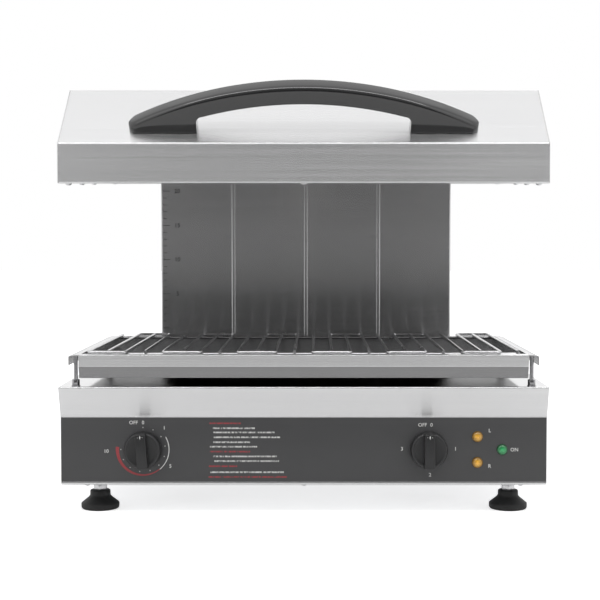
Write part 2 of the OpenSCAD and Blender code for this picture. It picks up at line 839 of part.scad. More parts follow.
// The walls round the tower and the rear of the two arms, folded from one sheet
module hood_back() {
    edge = half_w - sheet_t - fit;
    path = [[edge, back(hood_d)], [notch_half, back(hood_d)], [notch_half, back(notch_y)],
            [-notch_half, back(notch_y)], [-notch_half, back(hood_d)], [-edge, back(hood_d)]];
    color(steel)
    intersection() {
        translate([0, 0, lip_z])
            linear_extrude(height = crown_z - sheet_t - fit - lip_z)
                folded(path, sheet_t, fold_r);
        across(body_w)
            polygon([[back(0), under(0) + sheet_t + fit], [back(hood_d) + 5, under(hood_d + 5) + sheet_t + fit],
                     [back(hood_d) + 5, crown_z], [back(0), crown_z]]);
    }
}

pan_front = 22;
pan_back = notch_y - sheet_t - 1;
element_x = half_w / 2 - 4;
element_front = pan_front + 50;
element_back = pan_back - 48;
element_z = reflector_z - 16;
riser_r = 15;
riser_y = element_back + riser_r;
riser_xs = [for (side = [-1, 1], k = [-1.5, 1.5]) side * element_x + k * element_pitch];
// The inverted pan over the elements, open below inside its flanges
module hood_reflector() {
    edge = half_w - sheet_t - fit;
    lift = sheet_t + fit;
    color(bright)
    difference() {
        across(edge * 2)
            polygon([[back(pan_front), under(pan_front) + lift], [back(pan_back), under(pan_back) + lift],
                     [back(pan_back), reflector_z + sheet_t], [back(pan_front), reflector_z + sheet_t]]);
        across(edge * 2 - 2 * sheet_t)
            polygon([[back(pan_front) + sheet_t, under(pan_front) + lift + sheet_t],
                     [back(pan_back) - sheet_t, under(pan_back) + lift + sheet_t],
                     [back(pan_back) - sheet_t, reflector_z], [back(pan_front) + sheet_t, reflector_z]]);
        block([-half_w + hood_flange + 2, back(pan_front) + sheet_t, lip_z - 1],
              [half_w - hood_flange - 2, back(pan_back) - sheet_t, reflector_z - 10]);
        for (x = riser_xs)
            translate([x, back(riser_y), reflector_z - 2]) cylinder(r = element_r + hole_fit, h = 6);
        for (side = [-1, 1], d = hood_screw_ys)
            on_underside(side * hood_screw_x, d) translate([0, 0, -2]) cylinder(r = screw_r + hole_fit, h = 8);
    }
}

board_h = 44;
bead_r = element_r + 4;
bead_h = 12;
module hood_insulation() {
    color(ceramic)
    difference() {
        block([-half_w + 10, back(slope_run + 9), reflector_z + sheet_t],
              [half_w - 10, back(pan_back), reflector_z + sheet_t + board_h]);
        for (x = riser_xs)
            translate([x, back(riser_y), reflector_z]) cylinder(r = bead_r + 1, h = board_h + 5);
    }
}

// A bend of the heating tube: half or quarter of a ring of middle radius r
module tube_bend(r, angle) {
    rotate_extrude(angle = angle) translate([r, 0]) circle(r = element_r);
}
// One zone's heating tube: four runs, three returns, and two risers through the reflector
module heating_element(x) {
    run = element_back - element_front;
    r = element_pitch / 2;
    translate([x, back(0), element_z]) {
        for (k = [-1.5, -0.5, 0.5, 1.5])
            translate([k * element_pitch, element_front, 0])
                rotate([-90, 0, 0]) cylinder(r = element_r, h = run);
        for (k = [-1, 1])
            translate([k * element_pitch, element_front, 0]) rotate([0, 0, 180]) tube_bend(r, 180);
        translate([0, element_back, 0]) tube_bend(r, 180);
        for (k = [-1.5, 1.5])
            translate([k * element_pitch, element_back, riser_r]) {
                rotate([0, 90, 0]) tube_bend(riser_r, 90);
                translate([0, riser_r, 0]) cylinder(r = element_r, h = 16 - riser_r + sheet_t + bead_h + 4);
            }
    }
}
module heating_element_left() {
    color(dark_steel) heating_element(-element_x);
}
module heating_element_right() {
    color(dark_steel) heating_element(element_x);
}

bracket_ys = [element_front + 46, element_back - 44];
module element_brackets() {
    color(bright)
    for (side = [-1, 1], y = bracket_ys)
        difference() {
            block([side * element_x - element_pitch * 1.5 - 10, back(y), element_z - element_r - 4],
                  [side * element_x + element_pitch * 1.5 + 10, back(y) + 1.5, reflector_z]);
            for (k = [-1.5, -0.5, 0.5, 1.5])
                translate([side * element_x + k * element_pitch, back(y) - 1, element_z])
                    rotate([-90, 0, 0]) cylinder(r = element_r + fit, h = 4);
        }
}

module element_terminals() {
    color(ceramic)
    for (x = riser_xs)
        translate([x, back(riser_y), reflector_z + sheet_t])
            difference() {
                cylinder(r = bead_r, h = bead_h);
                translate([0, 0, -1]) cylinder(r = element_r + run_fit, h = bead_h + 2);
            }
}

module hood_screws() {
    color(bright) {
        for (x = lip_screw_xs)
            translate([x, back(7), lip_z]) pan_screw(screw_r, 5);
        for (side = [-1, 1], d = hood_screw_ys)
            on_underside(side * hood_screw_x, d) translate([0, 0, -0.02]) pan_screw(screw_r, 6);
    }
}

// ---- Handle ----
foot_fillet = 8;
tip_r = handle_w / 2 + 0.6;
// The handle's outline along its length: foot and fillet on the right
module handle_foot_outline() {
    mid_r = handle_arc - handle_t / 2;
    low_r = handle_arc - handle_t;
    drop = handle_rise - handle_arc;
    inner = handle_span / 2;
    crook_z = drop + sqrt(pow(low_r, 2) - pow(inner - foot_fillet, 2));
    intersection() {
        translate([0, drop]) circle(r = mid_r, $fn = 200);
        union() {
            translate([inner, 0]) square([handle_l / 2, handle_rise]);
            difference() {
                translate([inner - foot_fillet, crook_z - foot_fillet]) square([foot_fillet + 1, foot_fillet + 2]);
                translate([inner - foot_fillet, crook_z - foot_fillet]) circle(r = foot_fillet);
            }
        }
    }
}
// Points of a rounded corner whose middle is p, from its first angle
function corner(p, r, from) =
    [for (k = [0:fold_steps]) p + r * [cos(from + 90 * k / fold_steps), sin(from + 90 * k / fold_steps)]];
// The grip's section: a bar with a full round where the hand comes over its upper front edge
module grip_section() {
    h = handle_t / 2;
    w = handle_w / 2;
    translate([handle_arc - h, 0])
        polygon(concat(
            corner([h - grip_brow, w - grip_brow], grip_brow, 0),
            corner([grip_edge - h, w - grip_edge], grip_edge, 90),
            corner([grip_edge - h, grip_edge - w], grip_edge, 180),
            corner([h - grip_edge, grip_edge - w], grip_edge, 270)));
}
module handle() {
    sweep = asin(handle_l / 2 / handle_arc) + 2;
    color(black)
    on_slope()
        difference() {
            intersection() {
                union() {
                    translate([0, 0, handle_rise - handle_arc])
                        rotate([90, 0, 0])
                            rotate([0, 0, 90 - sweep])
                                rotate_extrude(angle = 2 * sweep, $fn = 200) grip_section();
                    mirrored_x()
                        translate([0, handle_w / 2 - 1, 0])
                            rotate([90, 0, 0])
                                linear_extrude(height = handle_w - 2) handle_foot_outline();
                }
                // round ends in plan, flat on the slope
                linear_extrude(height = handle_rise + 2) {
                    square([handle_l - 2 * tip_r, 2 * tip_r], center = true);
                    for (side = [-1, 1])
                        translate([side * (handle_l / 2 - tip_r), 0]) circle(r = tip_r);
                }
            }
            for (x = handle_screw_xs)
                translate([x, 0, -1]) cylinder(r = screw_r + 0.5 + run_fit, h = 11);
        }
}
module handle_screws() {
    color(bright)
    on_slope()
        for (x = handle_screw_xs)
            translate([x, 0, -sheet_t]) pan_screw(screw_r + 0.5, sheet_t + 9);
}

// ---- Drip tray and rack ----
tray_front = -2;
bend_z = tray_z + tray_h / 2;
front_rim = 16;
rear_rim = 12;
tray_flange = 8;
// The tray's side outline, moved inwards by t
function tray_outline(t) = [
    [back(tray_front) + t, rim_z], [back(tray_front) + t, bend_z],
    [back(tray_front) + tray_slant + t, tray_z + t], [back(tray_front + tray_d) - t, tray_z + t],
    [back(tray_front + tray_d) - t, rim_z]];
module drip_tray() {
    rear = tray_front + tray_d;
    color(steel)
    difference() {
        union() {
            across(2 * tray_half) polygon(tray_outline(0));
            // side flanges that slide on the rails
            block([-tray_half - tray_flange, back(tray_front), rim_z - tray_t],
                  [tray_half + tray_flange, back(rear), rim_z]);
        }
        difference() {
            across(2 * tray_half - 2 * tray_t)
                polygon(concat(tray_outline(tray_t), [[back(rear) - tray_t, rim_z + 1], [back(tray_front) + tray_t, rim_z + 1]]));
            // rims that the rack rests on
            block([-tray_half, back(tray_front), rim_z - tray_t], [tray_half, back(tray_front) + front_rim, rim_z]);
            block([-tray_half, back(rear) - rear_rim, rim_z - tray_t], [tray_half, back(rear), rim_z]);
        }
    }
}

hairpin_front = 10.5;
hairpin_rear = tray_d - 6;
pin_corner = 5;
// A hairpin with its closed end at y = 0 and its legs towards +Y
module hairpin(legs) {
    pitch2 = 2 * rod_pitch;
    for (side = [-1, 1])
        translate([side * rod_pitch, pin_corner, 0])
            rotate([-90, 0, 0]) cylinder(r = wire_r, h = legs - pin_corner);
    translate([-rod_pitch + pin_corner, 0, 0])
        rotate([0, 90, 0]) cylinder(r = wire_r, h = pitch2 - 2 * pin_corner);
    translate([rod_pitch - pin_corner, pin_corner, 0])
        rotate([0, 0, -90]) rotate_extrude(angle = 90) translate([pin_corner, 0]) circle(r = wire_r);
    translate([-rod_pitch + pin_corner, pin_corner, 0])
        rotate([0, 0, 180]) rotate_extrude(angle = 90) translate([pin_corner, 0]) circle(r = wire_r);
}
cross_ys = [front_rim + 8, hairpin_rear - rear_rim - 9];
module wire_rack() {
    weld = 0.6;
    legs = hairpin_rear - hairpin_front - 8;
    color(bright) {
        for (k = [0:rack_rods / 4 - 1]) {
            // one hairpin closed at the front, and one closed at the rear between its legs
            translate([-rack_half + (4 * k + 1) * rod_pitch, back(hairpin_front), rack_z]) hairpin(legs);
            translate([-rack_half + (4 * k + 2) * rod_pitch, back(hairpin_rear), rack_z])
                rotate([0, 0, 180]) hairpin(legs);
        }
        for (y = cross_ys)
            translate([-rack_half - wire_r, back(y), rack_z - 2 * wire_r + weld])
                rotate([0, 90, 0]) cylinder(r = wire_r, h = 2 * rack_half + 2 * wire_r);
    }
}

// ---- Feet ----
flange_z = 8;
cone_z = 17;
neck_z = 24;
neck_r = 12.7;
hex_h = 7;
// A foot pad standing on the floor, with a socket for its stud
module foot_pad(x, y) {
    color(black)
    translate([x, back(y), 0])
        difference() {
            rotate_extrude()
                polygon([[0, 0], [pad_r - 2, 0], [pad_r - 0.5, 1], [pad_r, 2.5], [pad_r, flange_z],
                         [neck_r, cone_z], [neck_r, neck_z - 1], [neck_r - 1, neck_z], [0, neck_z]]);
            translate([0, 0, 10]) cylinder(r = stud_r + run_fit, h = 30);
        }
}
// A threaded stud with its hexagon over the pad
module foot_stud(x, y) {
    color(bright)
    translate([x, back(y), 0]) {
        translate([0, 0, 11]) cylinder(r = stud_r, h = inside_z + insert_h + 6 - 11);
        translate([0, 0, neck_z]) cylinder(r = stud_r * 1.8, h = hex_h, $fn = 6);
    }
}
module foot_pad_front_left() { foot_pad(-foot_x, foot_ys[0]); }
module foot_stud_front_left() { foot_stud(-foot_x, foot_ys[0]); }
module foot_pad_front_right() { foot_pad(foot_x, foot_ys[0]); }
module foot_stud_front_right() { foot_stud(foot_x, foot_ys[0]); }
module foot_pad_rear_left() { foot_pad(-foot_x, foot_ys[1]); }
module foot_stud_rear_left() { foot_stud(-foot_x, foot_ys[1]); }
module foot_pad_rear_right() { foot_pad(foot_x, foot_ys[1]); }
module foot_stud_rear_right() { foot_stud(foot_x, foot_ys[1]); }

base_housing();
control_panel();
base_bottom_plate();
base_rear_panel();
base_screws();
foot_inserts();
terminal_block();
cable_gland();
timer_mechanism();
mode_switch();
spindle_nuts();
lamp_lens_left();
lamp_lens_right();
lamp_lens_power();
lamp_bodies();
tower_front_cover();
tower_rear_cover();
tower_cap();
tower_foot_plate();
tower_head_plate();
tower_screws();
guide_rods();
strut_cylinders();
rail_left();
rail_right();
rail_studs();
rail_nuts();
hood_wrap();
hood_side_left();
hood_side_right();
hood_back();
hood_reflector();
hood_insulation();
heating_element_left();
heating_element_right();
element_brackets();
element_terminals();
hood_screws();
handle();
handle_screws();
carriage();
slide_bushes();
strut_rods();
drip_tray();
wire_rack();
timer_knob();
timer_spindle();
mode_knob();
mode_spindle();
foot_pad_front_left();
foot_stud_front_left();
foot_pad_front_right();
foot_stud_front_right();
foot_pad_rear_left();
foot_stud_rear_left();
foot_pad_rear_right();
foot_stud_rear_right();
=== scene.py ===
import json
from math import atan2, cos, hypot, pi, radians, sin, sqrt

import bmesh
import bpy
from bpy.props import FloatProperty, FloatVectorProperty, IntProperty, PointerProperty
from mathutils import Matrix, Vector


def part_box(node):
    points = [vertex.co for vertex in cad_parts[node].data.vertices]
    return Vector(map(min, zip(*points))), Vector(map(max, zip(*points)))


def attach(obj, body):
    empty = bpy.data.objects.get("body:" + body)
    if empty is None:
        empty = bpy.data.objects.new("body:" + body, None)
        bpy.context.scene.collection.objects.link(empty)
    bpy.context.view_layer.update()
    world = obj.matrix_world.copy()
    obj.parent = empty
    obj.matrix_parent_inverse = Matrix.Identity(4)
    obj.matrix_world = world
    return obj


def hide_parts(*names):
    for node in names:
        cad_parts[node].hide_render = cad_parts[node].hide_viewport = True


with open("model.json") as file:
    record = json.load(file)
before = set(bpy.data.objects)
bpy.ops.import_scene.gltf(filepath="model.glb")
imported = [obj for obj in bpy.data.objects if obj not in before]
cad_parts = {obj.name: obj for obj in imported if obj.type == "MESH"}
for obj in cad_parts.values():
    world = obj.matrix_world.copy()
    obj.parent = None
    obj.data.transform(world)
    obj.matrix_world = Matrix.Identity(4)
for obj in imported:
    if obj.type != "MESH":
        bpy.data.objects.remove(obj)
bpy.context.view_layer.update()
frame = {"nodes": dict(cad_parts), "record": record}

bl_info = {
    "name": "Cheese melter",
    "version": (1, 0, 0),
    "blender": (4, 5, 0),
    "location": "3D View > Sidebar > Melter",
    "description": "Builds the sheet metal, handle, dials, rack and lamps of a rise-and-fall cheese melter",
    "category": "Add Mesh",
}

MM = 0.001
NEAR = 0.1 * MM  # what lies this close to a plane counts as lying on it
WELD = 0.0001 * MM  # vertices this close to each other are one


# ---- Places, most of them read from the frame ----

def low(node):
    return Vector(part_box(node)[0])


def high(node):
    return Vector(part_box(node)[1])


def centre_of(node):
    return (low(node) + high(node)) / 2


LIP_Y = low("hood_wrap").y
LIP_Z = low("hood_wrap").z
CROWN_Z = high("hood_wrap").z
HOOD_BACK_Y = high("hood_wrap").y
HALF_W = high("base_housing").x
TOP_Z = high("base_housing").z
BASE_Z = low("base_housing").z
BASE_BACK_Y = high("base_housing").y
BAND_Y = low("base_housing").y
PANEL_Y = low("control_panel").y
FACE_Y = high("control_panel").y
PANEL_Z = high("control_panel").z + 1 * MM
SHEET = 1.2 * MM
FINE_RIM = 0.25 * MM
TOWER_HALF = high("tower_front_cover").x
TOWER_TOP = high("tower_front_cover").z
NOTCH_HALF = high("carriage").x + 0.2 * MM
SHOULDER_Z = LIP_Z + 49 * MM
SLOPE_RUN = 91 * MM
SLOPE = atan2(CROWN_Z - SHOULDER_Z, SLOPE_RUN)
UNDER_RISE = 19 * MM
HOOD_DEPTH = HOOD_BACK_Y - LIP_Y


def under(y):
    """Height of the hood's underside at y."""
    return LIP_Z + UNDER_RISE * (y - LIP_Y) / HOOD_DEPTH


# ---- Settings ----

def length(name, description, default, **more):
    return FloatProperty(name=name, description=description, default=default,
                         subtype="DISTANCE", unit="LENGTH", precision=4, **more)


def colour(name, description, default):
    return FloatVectorProperty(name=name, description=description, default=default,
                               subtype="COLOR", size=3, min=0, max=1)


class MelterSizes(bpy.types.PropertyGroup):
    fold: length("Fold", "Radius on the outside of a fold", 3 * MM, min=0)
    rim: length("Rim", "Rounding of the cut edges of the sheet", 0.3 * MM, min=0)
    wire: length("Wire", "Radius of the rack's wire", 2 * MM, min=0.001)
    grip_brow: length("Grip brow", "Rounding of the grip's upper front edge", 8 * MM, min=0.001)
    grip_edge: length("Grip edge", "Rounding of the grip's other long edges", 3 * MM, min=0.001)
    knob_radius: length("Knob", "Radius of a knob", 23 * MM, min=0.01)
    mark_height: length("Marks", "How far the printed marks stand out", 0.06 * MM, min=0)
    tick_pitch: length("Tick pitch", "Distance of two ticks on the height scale", 10 * MM, min=0.001)
    tick_count: IntProperty(name="Ticks", description="Number of ticks above zero on the height scale",
                            default=20, min=1, max=40)


class MelterColours(bpy.types.PropertyGroup):
    steel: colour("Steel", "Brushed steel sheet", (0.72, 0.72, 0.725))
    panel: colour("Panel", "Coating of the control panel", (0.062, 0.062, 0.064))
    handle: colour("Handle", "Moulded handle", (0.016, 0.016, 0.0165))
    knob: colour("Knobs", "Moulded knobs", (0.022, 0.022, 0.023))
    rubber: colour("Feet", "Rubber of the feet", (0.01, 0.01, 0.01))
    marks: colour("Marks", "Printed numbers and dots", (0.82, 0.82, 0.8))
    warm: colour("Warm mark", "Arc of the long times", (0.42, 0.06, 0.07))
    amber: colour("Amber", "Amber lamps", (0.85, 0.43, 0.03))
    green: colour("Green", "Green lamp", (0.01, 0.36, 0.1))


def sizes():
    return bpy.context.scene.melter_sizes


def colours():
    return bpy.context.scene.melter_colours


# ---- Finishes ----

class Finish:
    """Node graph of one material, built from the shader backwards."""

    def __init__(self, name, colour, metallic=0.0, roughness=0.4):
        self.material = bpy.data.materials.new(name)
        self.material.use_nodes = True
        self.tree = self.material.node_tree
        self.shader = self.tree.nodes["Principled BSDF"]
        self.shader.inputs["Base Color"].default_value = (*colour, 1)
        self.shader.inputs["Metallic"].default_value = metallic
        self.shader.inputs["Roughness"].default_value = roughness

    def node(self, kind, **values):
        made = self.tree.nodes.new(kind)
        for key, value in values.items():
            setattr(made, key, value)
        return made

    def link(self, source, target):
        self.tree.links.new(source, target)

    def place(self, scale=(1, 1, 1)):
        where = self.node("ShaderNodeTexCoord")
        mapping = self.node("ShaderNodeMapping")
        mapping.inputs["Scale"].default_value = scale
        self.link(where.outputs["Object"], mapping.inputs["Vector"])
        return mapping.outputs["Vector"]

    def noise(self, scale, stretch=(1, 1, 1), detail=3.0, rough=0.5):
        made = self.node("ShaderNodeTexNoise")
        made.inputs["Scale"].default_value = scale
        made.inputs["Detail"].default_value = detail
        made.inputs["Roughness"].default_value = rough
        self.link(self.place(stretch), made.inputs["Vector"])
        return made.outputs["Fac"]

    def between(self, fac, start, end, floor=0.3, ceiling=0.7):
        """A number that follows fac between two ends."""
        made = self.node("ShaderNodeMapRange")
        made.inputs["From Min"].default_value = floor
        made.inputs["From Max"].default_value = ceiling
        made.inputs["To Min"].default_value = start
        made.inputs["To Max"].default_value = end
        self.link(fac, made.inputs["Value"])
        return made.outputs["Result"]

    def mix(self, fac, first, second):
        """Goes from the first colour to the second with fac; each is a tone or a socket."""
        made = self.node("ShaderNodeMix", data_type="RGBA")
        self.link(fac, made.inputs["Factor"])
        for end, tone in (("A", first), ("B", second)):
            if isinstance(tone, tuple):
                made.inputs[end].default_value = (*tone, 1)
            else:
                self.link(tone, made.inputs[end])
        return made.outputs["Result"]

    def bump(self, height, strength, distance=0.0002):
        made = self.node("ShaderNodeBump")
        made.inputs["Strength"].default_value = strength
        made.inputs["Distance"].default_value = distance
        self.link(height, made.inputs["Height"])
        self.link(made.outputs["Normal"], self.shader.inputs["Normal"])

    def use(self, socket, name):
        self.link(socket, self.shader.inputs[name])


def shaded(tone, share):
    """A tone made darker by a share below 1, or lighter by one above it."""
    return tuple(c * share for c in tone)


# Scale of the grain's noise, and the way that it runs; the small second part serves faces square to the first
GRAIN = {"X": ((2.5, 1500, 1500), (1, 0.02, 0)), "Y": ((1500, 2.5, 1500), (0.02, 1, 0))}
# How many times wider the grain's bands are than its streaks
BAND_WIDTH = 4


def brushed(name, tone, along, roughness=0.25, contrast=0.08, depth=0.004, drawn_out=1.0):
    """Sheet steel with a fine grain along one axis, which draws what it mirrors out across the grain."""
    f = Finish(name, tone, 1.0, roughness)
    scale, heading = GRAIN[along]
    wider = tuple(c / BAND_WIDTH if c == max(scale) else c for c in scale)
    f.shader.inputs["Anisotropic"].default_value = drawn_out
    f.shader.inputs["Anisotropic Rotation"].default_value = 0.25
    way = f.node("ShaderNodeCombineXYZ")
    for axis, share in zip("XYZ", heading):
        way.inputs[axis].default_value = share
    f.use(way.outputs["Vector"], "Tangent")
    fine = f.noise(1.0, scale, 3.0, 0.6)
    coarse = f.noise(1.0, wider, 2.0)
    smear = f.noise(7.0, (1, 1, 1), 2.0)
    streaks = f.mix(f.between(fine, 0, 1), shaded(tone, 1 - contrast), shaded(tone, 1 + contrast * 0.6))
    bands = f.mix(f.between(coarse, 0, 1), shaded(tone, 1 - contrast * 0.4), shaded(tone, 1 + contrast * 0.3))
    f.use(f.mix(f.between(smear, 0.35, 0.65), streaks, bands), "Base Color")
    f.use(f.between(coarse, roughness - 0.01, roughness + 0.015), "Roughness")
    f.bump(fine, depth, 0.0001)
    return f.material


def polished(name, tone, roughness, speck=60.0):
    """Bright round metal with slight marks."""
    f = Finish(name, tone, 1.0, roughness)
    f.use(f.between(f.noise(speck, (1, 1, 1), 3.0), roughness, roughness + 0.12), "Roughness")
    f.use(f.mix(f.noise(speck / 3), shaded(tone, 0.9), tone), "Base Color")
    return f.material


def moulded(name, tone, roughness, grain=1400.0, depth=0.05, lacquer=0.0):
    """Moulded plastic or rubber with a fine skin, under clear lacquer where that is above 0."""
    f = Finish(name, tone, 0.0, roughness)
    if lacquer:
        f.shader.inputs["Coat Weight"].default_value = lacquer
        f.shader.inputs["Coat IOR"].default_value = 1.6
        f.shader.inputs["Coat Roughness"].default_value = 0.08
    skin = f.noise(grain, (1, 1, 1), 2.0)
    f.use(f.between(f.noise(35.0), roughness - 0.04, roughness + 0.07), "Roughness")
    f.use(f.mix(f.noise(18.0), shaded(tone, 0.85), shaded(tone, 1.12)), "Base Color")
    f.bump(skin, depth, 0.0001)
    return f.material


def coated(name, tone, roughness=0.42):
    """Fine textured coating with a soft sheen."""
    f = Finish(name, tone, 0.0, roughness)
    f.use(f.between(f.noise(60.0), roughness - 0.03, roughness + 0.06), "Roughness")
    f.use(f.mix(f.noise(9.0), shaded(tone, 0.94), shaded(tone, 1.06)), "Base Color")
    f.bump(f.noise(2600.0, (1, 1, 1), 2.0), 0.12, 0.0001)
    return f.material


def printed(name, tone):
    """Thin ink with a little unevenness."""
    f = Finish(name, tone, 0.0, 0.5)
    f.use(f.mix(f.noise(300.0), shaded(tone, 0.86), tone), "Base Color")
    return f.material


def greeked(name, tone, ground):
    """Ink broken up along X like a row of small letters, with no letter in it."""
    f = Finish(name, tone, 0.0, 0.5)
    letters = f.between(f.noise(1.0, (620, 1, 260), 2.0, 0.6), 0, 1, 0.38, 0.52)
    f.use(f.mix(letters, ground, shaded(tone, 0.85)), "Base Color")
    return f.material


def lens_glass(name, tone, centre):
    """A faceted clear lens that is brighter in its middle; centre is its place behind the panel's face."""
    f = Finish(name, tone, 0.0, 0.18)
    f.shader.inputs["Coat Weight"].default_value = 0.6
    f.shader.inputs["Coat Roughness"].default_value = 0.08
    where = f.node("ShaderNodeTexCoord")
    shift = f.node("ShaderNodeVectorMath", operation="DISTANCE")
    shift.inputs[1].default_value = centre
    f.link(where.outputs["Object"], shift.inputs[0])
    glow = f.between(shift.outputs["Value"], 1.0, 0.0, 1.5 * MM, 6.6 * MM)
    facets = f.node("ShaderNodeTexVoronoi")
    facets.inputs["Scale"].default_value = 650
    f.link(where.outputs["Object"], facets.inputs["Vector"])
    sparkle = f.between(facets.outputs["Distance"], 1.0, 0.55, 0.1, 0.7)
    mix = f.node("ShaderNodeMath", operation="MULTIPLY")
    f.link(glow, mix.inputs[0])
    f.link(sparkle, mix.inputs[1])
    pale = tuple(min(1.0, c * 1.15 + 0.04) for c in tone)
    f.use(f.mix(mix.outputs["Value"], shaded(tone, 0.2), pale), "Base Color")
    f.use(f.mix(mix.outputs["Value"], (0, 0, 0), shaded(tone, 0.35)), "Emission Color")
    f.shader.inputs["Emission Strength"].default_value = 1.0
    f.bump(facets.outputs["Distance"], 0.3, 0.0004)
    return f.material


def heated(name):
    """Alloy tube darkened by heat, with patches of straw and blue."""
    f = Finish(name, (0.2, 0.19, 0.18), 0.85, 0.42)
    patches = f.noise(22.0, (1, 1, 1), 3.0)
    f.use(f.mix(patches, (0.11, 0.10, 0.11), (0.3, 0.27, 0.23)), "Base Color")
    f.bump(f.noise(900.0), 0.08, 0.0001)
    return f.material


def fibrous(name, tone):
    """Pressed mineral fibre."""
    f = Finish(name, tone, 0.0, 0.9)
    f.use(f.mix(f.noise(140.0, (1, 1, 6), 4.0), shaded(tone, 0.75), tone), "Base Color")
    f.bump(f.noise(500.0, (1, 1, 4), 4.0), 0.5, 0.0006)
    return f.material


FINISHES = {}


def finish(name):
    """The material of that name, made once."""
    if name not in FINISHES:
        c = colours()
        steel = tuple(c.steel)
        makers = {
            "steel_across": lambda n: brushed(n, steel, "X", 0.25, 0.1),
            # Painted shade: a darker copy of the sheet steel, standing in for the dark floor that upright and
            # down-facing folds mirror
            "steel_shaded": lambda n: brushed(n, shaded(steel, 0.37), "X"),
            "base_top": lambda n: brushed(n, steel, "Y", 0.1, 0.1),
            "steel_rail": lambda n: brushed(n, shaded(steel, 0.5), "Y"),
            "steel_depth": lambda n: brushed(n, steel, "Y"),
            # Painted shade: the tower's front is a darker copy of the sheet steel, for the shade under the
            # hood
            "tower_steel": lambda n: brushed(n, shaded(steel, 0.8), "X", 0.25, 0.1),
            # Painted shade: a much darker copy of the steel for the tray's floor, standing in for the shaded
            # pan between the rods
            "tray_floor": lambda n: brushed(n, shaded(steel, 0.22), "Y", 0.3, 0.1),
            "plated": lambda n: brushed(n, (0.52, 0.53, 0.55), "X", 0.42, 0.08, 0.04, 0.3),
            # Painted shade: the reflector is kept dark so that the shade under the hood shows in the surfaces
            # that mirror it
            "reflector": lambda n: brushed(n, (0.2, 0.19, 0.18), "Y", 0.5, 0.15, 0.04, 0.3),
            "bright": lambda n: polished(n, (0.66, 0.66, 0.67), 0.2),
            # Painted shade: a darker copy of the bright steel, for the rail studs and nuts in the shade under
            # the tray
            "stud": lambda n: polished(n, (0.36, 0.36, 0.37), 0.2),
            "wire": lambda n: polished(n, (0.66, 0.66, 0.67), 0.16, 40.0),
            "rod": lambda n: polished(n, (0.72, 0.72, 0.74), 0.08),
            "strut": lambda n: coated(n, (0.02, 0.02, 0.02), 0.35),
            "panel": lambda n: coated(n, tuple(c.panel)),
            "handle": lambda n: moulded(n, tuple(c.handle), 0.13, 1400.0, 0.01, 0.5),
            "knob": lambda n: moulded(n, tuple(c.knob), 0.36),
            "switch": lambda n: moulded(n, (0.05, 0.05, 0.05), 0.5),
            "rubber": lambda n: moulded(n, tuple(c.rubber), 0.55, 700.0, 0.12),
            "marks": lambda n: printed(n, tuple(c.marks)),
            "warm_marks": lambda n: printed(n, tuple(c.warm)),
            "row_marks": lambda n: greeked(n, tuple(c.marks), tuple(c.panel)),
            "warm_rows": lambda n: greeked(n, tuple(c.warm), tuple(c.panel)),
            "dark_marks": lambda n: printed(n, (0.03, 0.03, 0.032)),
            "sheath": heated,
            "ceramic": lambda n: moulded(n, (0.78, 0.75, 0.68), 0.5, 500.0, 0.15),
            "fibre": lambda n: fibrous(n, (0.74, 0.71, 0.64)),
            "bronze": lambda n: polished(n, (0.52, 0.36, 0.19), 0.3),
        }
        FINISHES[name] = makers[name]("melter_" + name)
    return FINISHES[name]


# ---- Shapes ----

AXES = {"X": Vector((1, 0, 0)), "Y": Vector((0, 1, 0)), "Z": Vector((0, 0, 1))}


def spot(pair, place, axis):
    """A point of a drawing whose plane is square to the axis, at a place along it."""
    a, b = pair
    return Vector({"X": (place, a, b), "Y": (a, place, b), "Z": (a, b, place)}[axis])


def verts_of(geom):
    return [g for g in geom if isinstance(g, bmesh.types.BMVert)]


def faces_of(geom):
    return [g for g in geom if isinstance(g, bmesh.types.BMFace)]


def edges_of(geom):
    return [g for g in geom if isinstance(g, bmesh.types.BMEdge)]


def outwards(bm):
    """Turns all faces of a closed shape outwards."""
    bmesh.ops.recalc_face_normals(bm, faces=bm.faces)


def pull_edges(bm, edges, way):
    """Pulls edges along a vector, and gives all that this makes."""
    made = bmesh.ops.extrude_edge_only(bm, edges=edges)["geom"]
    bmesh.ops.translate(bm, verts=verts_of(made), vec=way)
    return made


def pull_faces(bm, faces, way):
    """Pulls faces along a vector into a closed shape, and gives the vertices at its far end."""
    far = verts_of(bmesh.ops.extrude_face_region(bm, geom=faces)["geom"])
    bmesh.ops.translate(bm, verts=far, vec=way)
    outwards(bm)
    return far


def new_line(bm, points):
    """Vertices at points, and the edges that join them in turn."""
    row = [bm.verts.new(p) for p in points]
    return row, [bm.edges.new(pair) for pair in zip(row, row[1:])]


def drawn_sheet(line, start, stop, axis):
    """A bent line drawn out along an axis."""
    bm = bmesh.new()
    _, edges = new_line(bm, [spot(p, start, axis) for p in line])
    pull_edges(bm, edges, AXES[axis] * (stop - start))
    return bm


def drawn_block(outline, start, stop, axis):
    """A closed outline drawn out along an axis, closed at both ends."""
    bm = bmesh.new()
    face = bm.faces.new([bm.verts.new(spot(p, start, axis)) for p in outline])
    pull_faces(bm, [face], AXES[axis] * (stop - start))
    return bm


def box_block(a, b):
    """A box from its lowest corner to its highest."""
    return drawn_block([(a[1], a[2]), (b[1], a[2]), (b[1], b[2]), (a[1], b[2])], a[0], b[0], "X")


def round_edges(bm, edges, offset, segments):
    bmesh.ops.bevel(bm, geom=edges, offset=offset, offset_type="OFFSET", affect="EDGES",
                    segments=segments, profile=0.5, material=-1, clamp_overlap=True)


def sharp_edges(bm, angle=30.0):
    return [e for e in bm.edges if len(e.link_faces) == 2 and e.calc_face_angle(0) > radians(angle)]


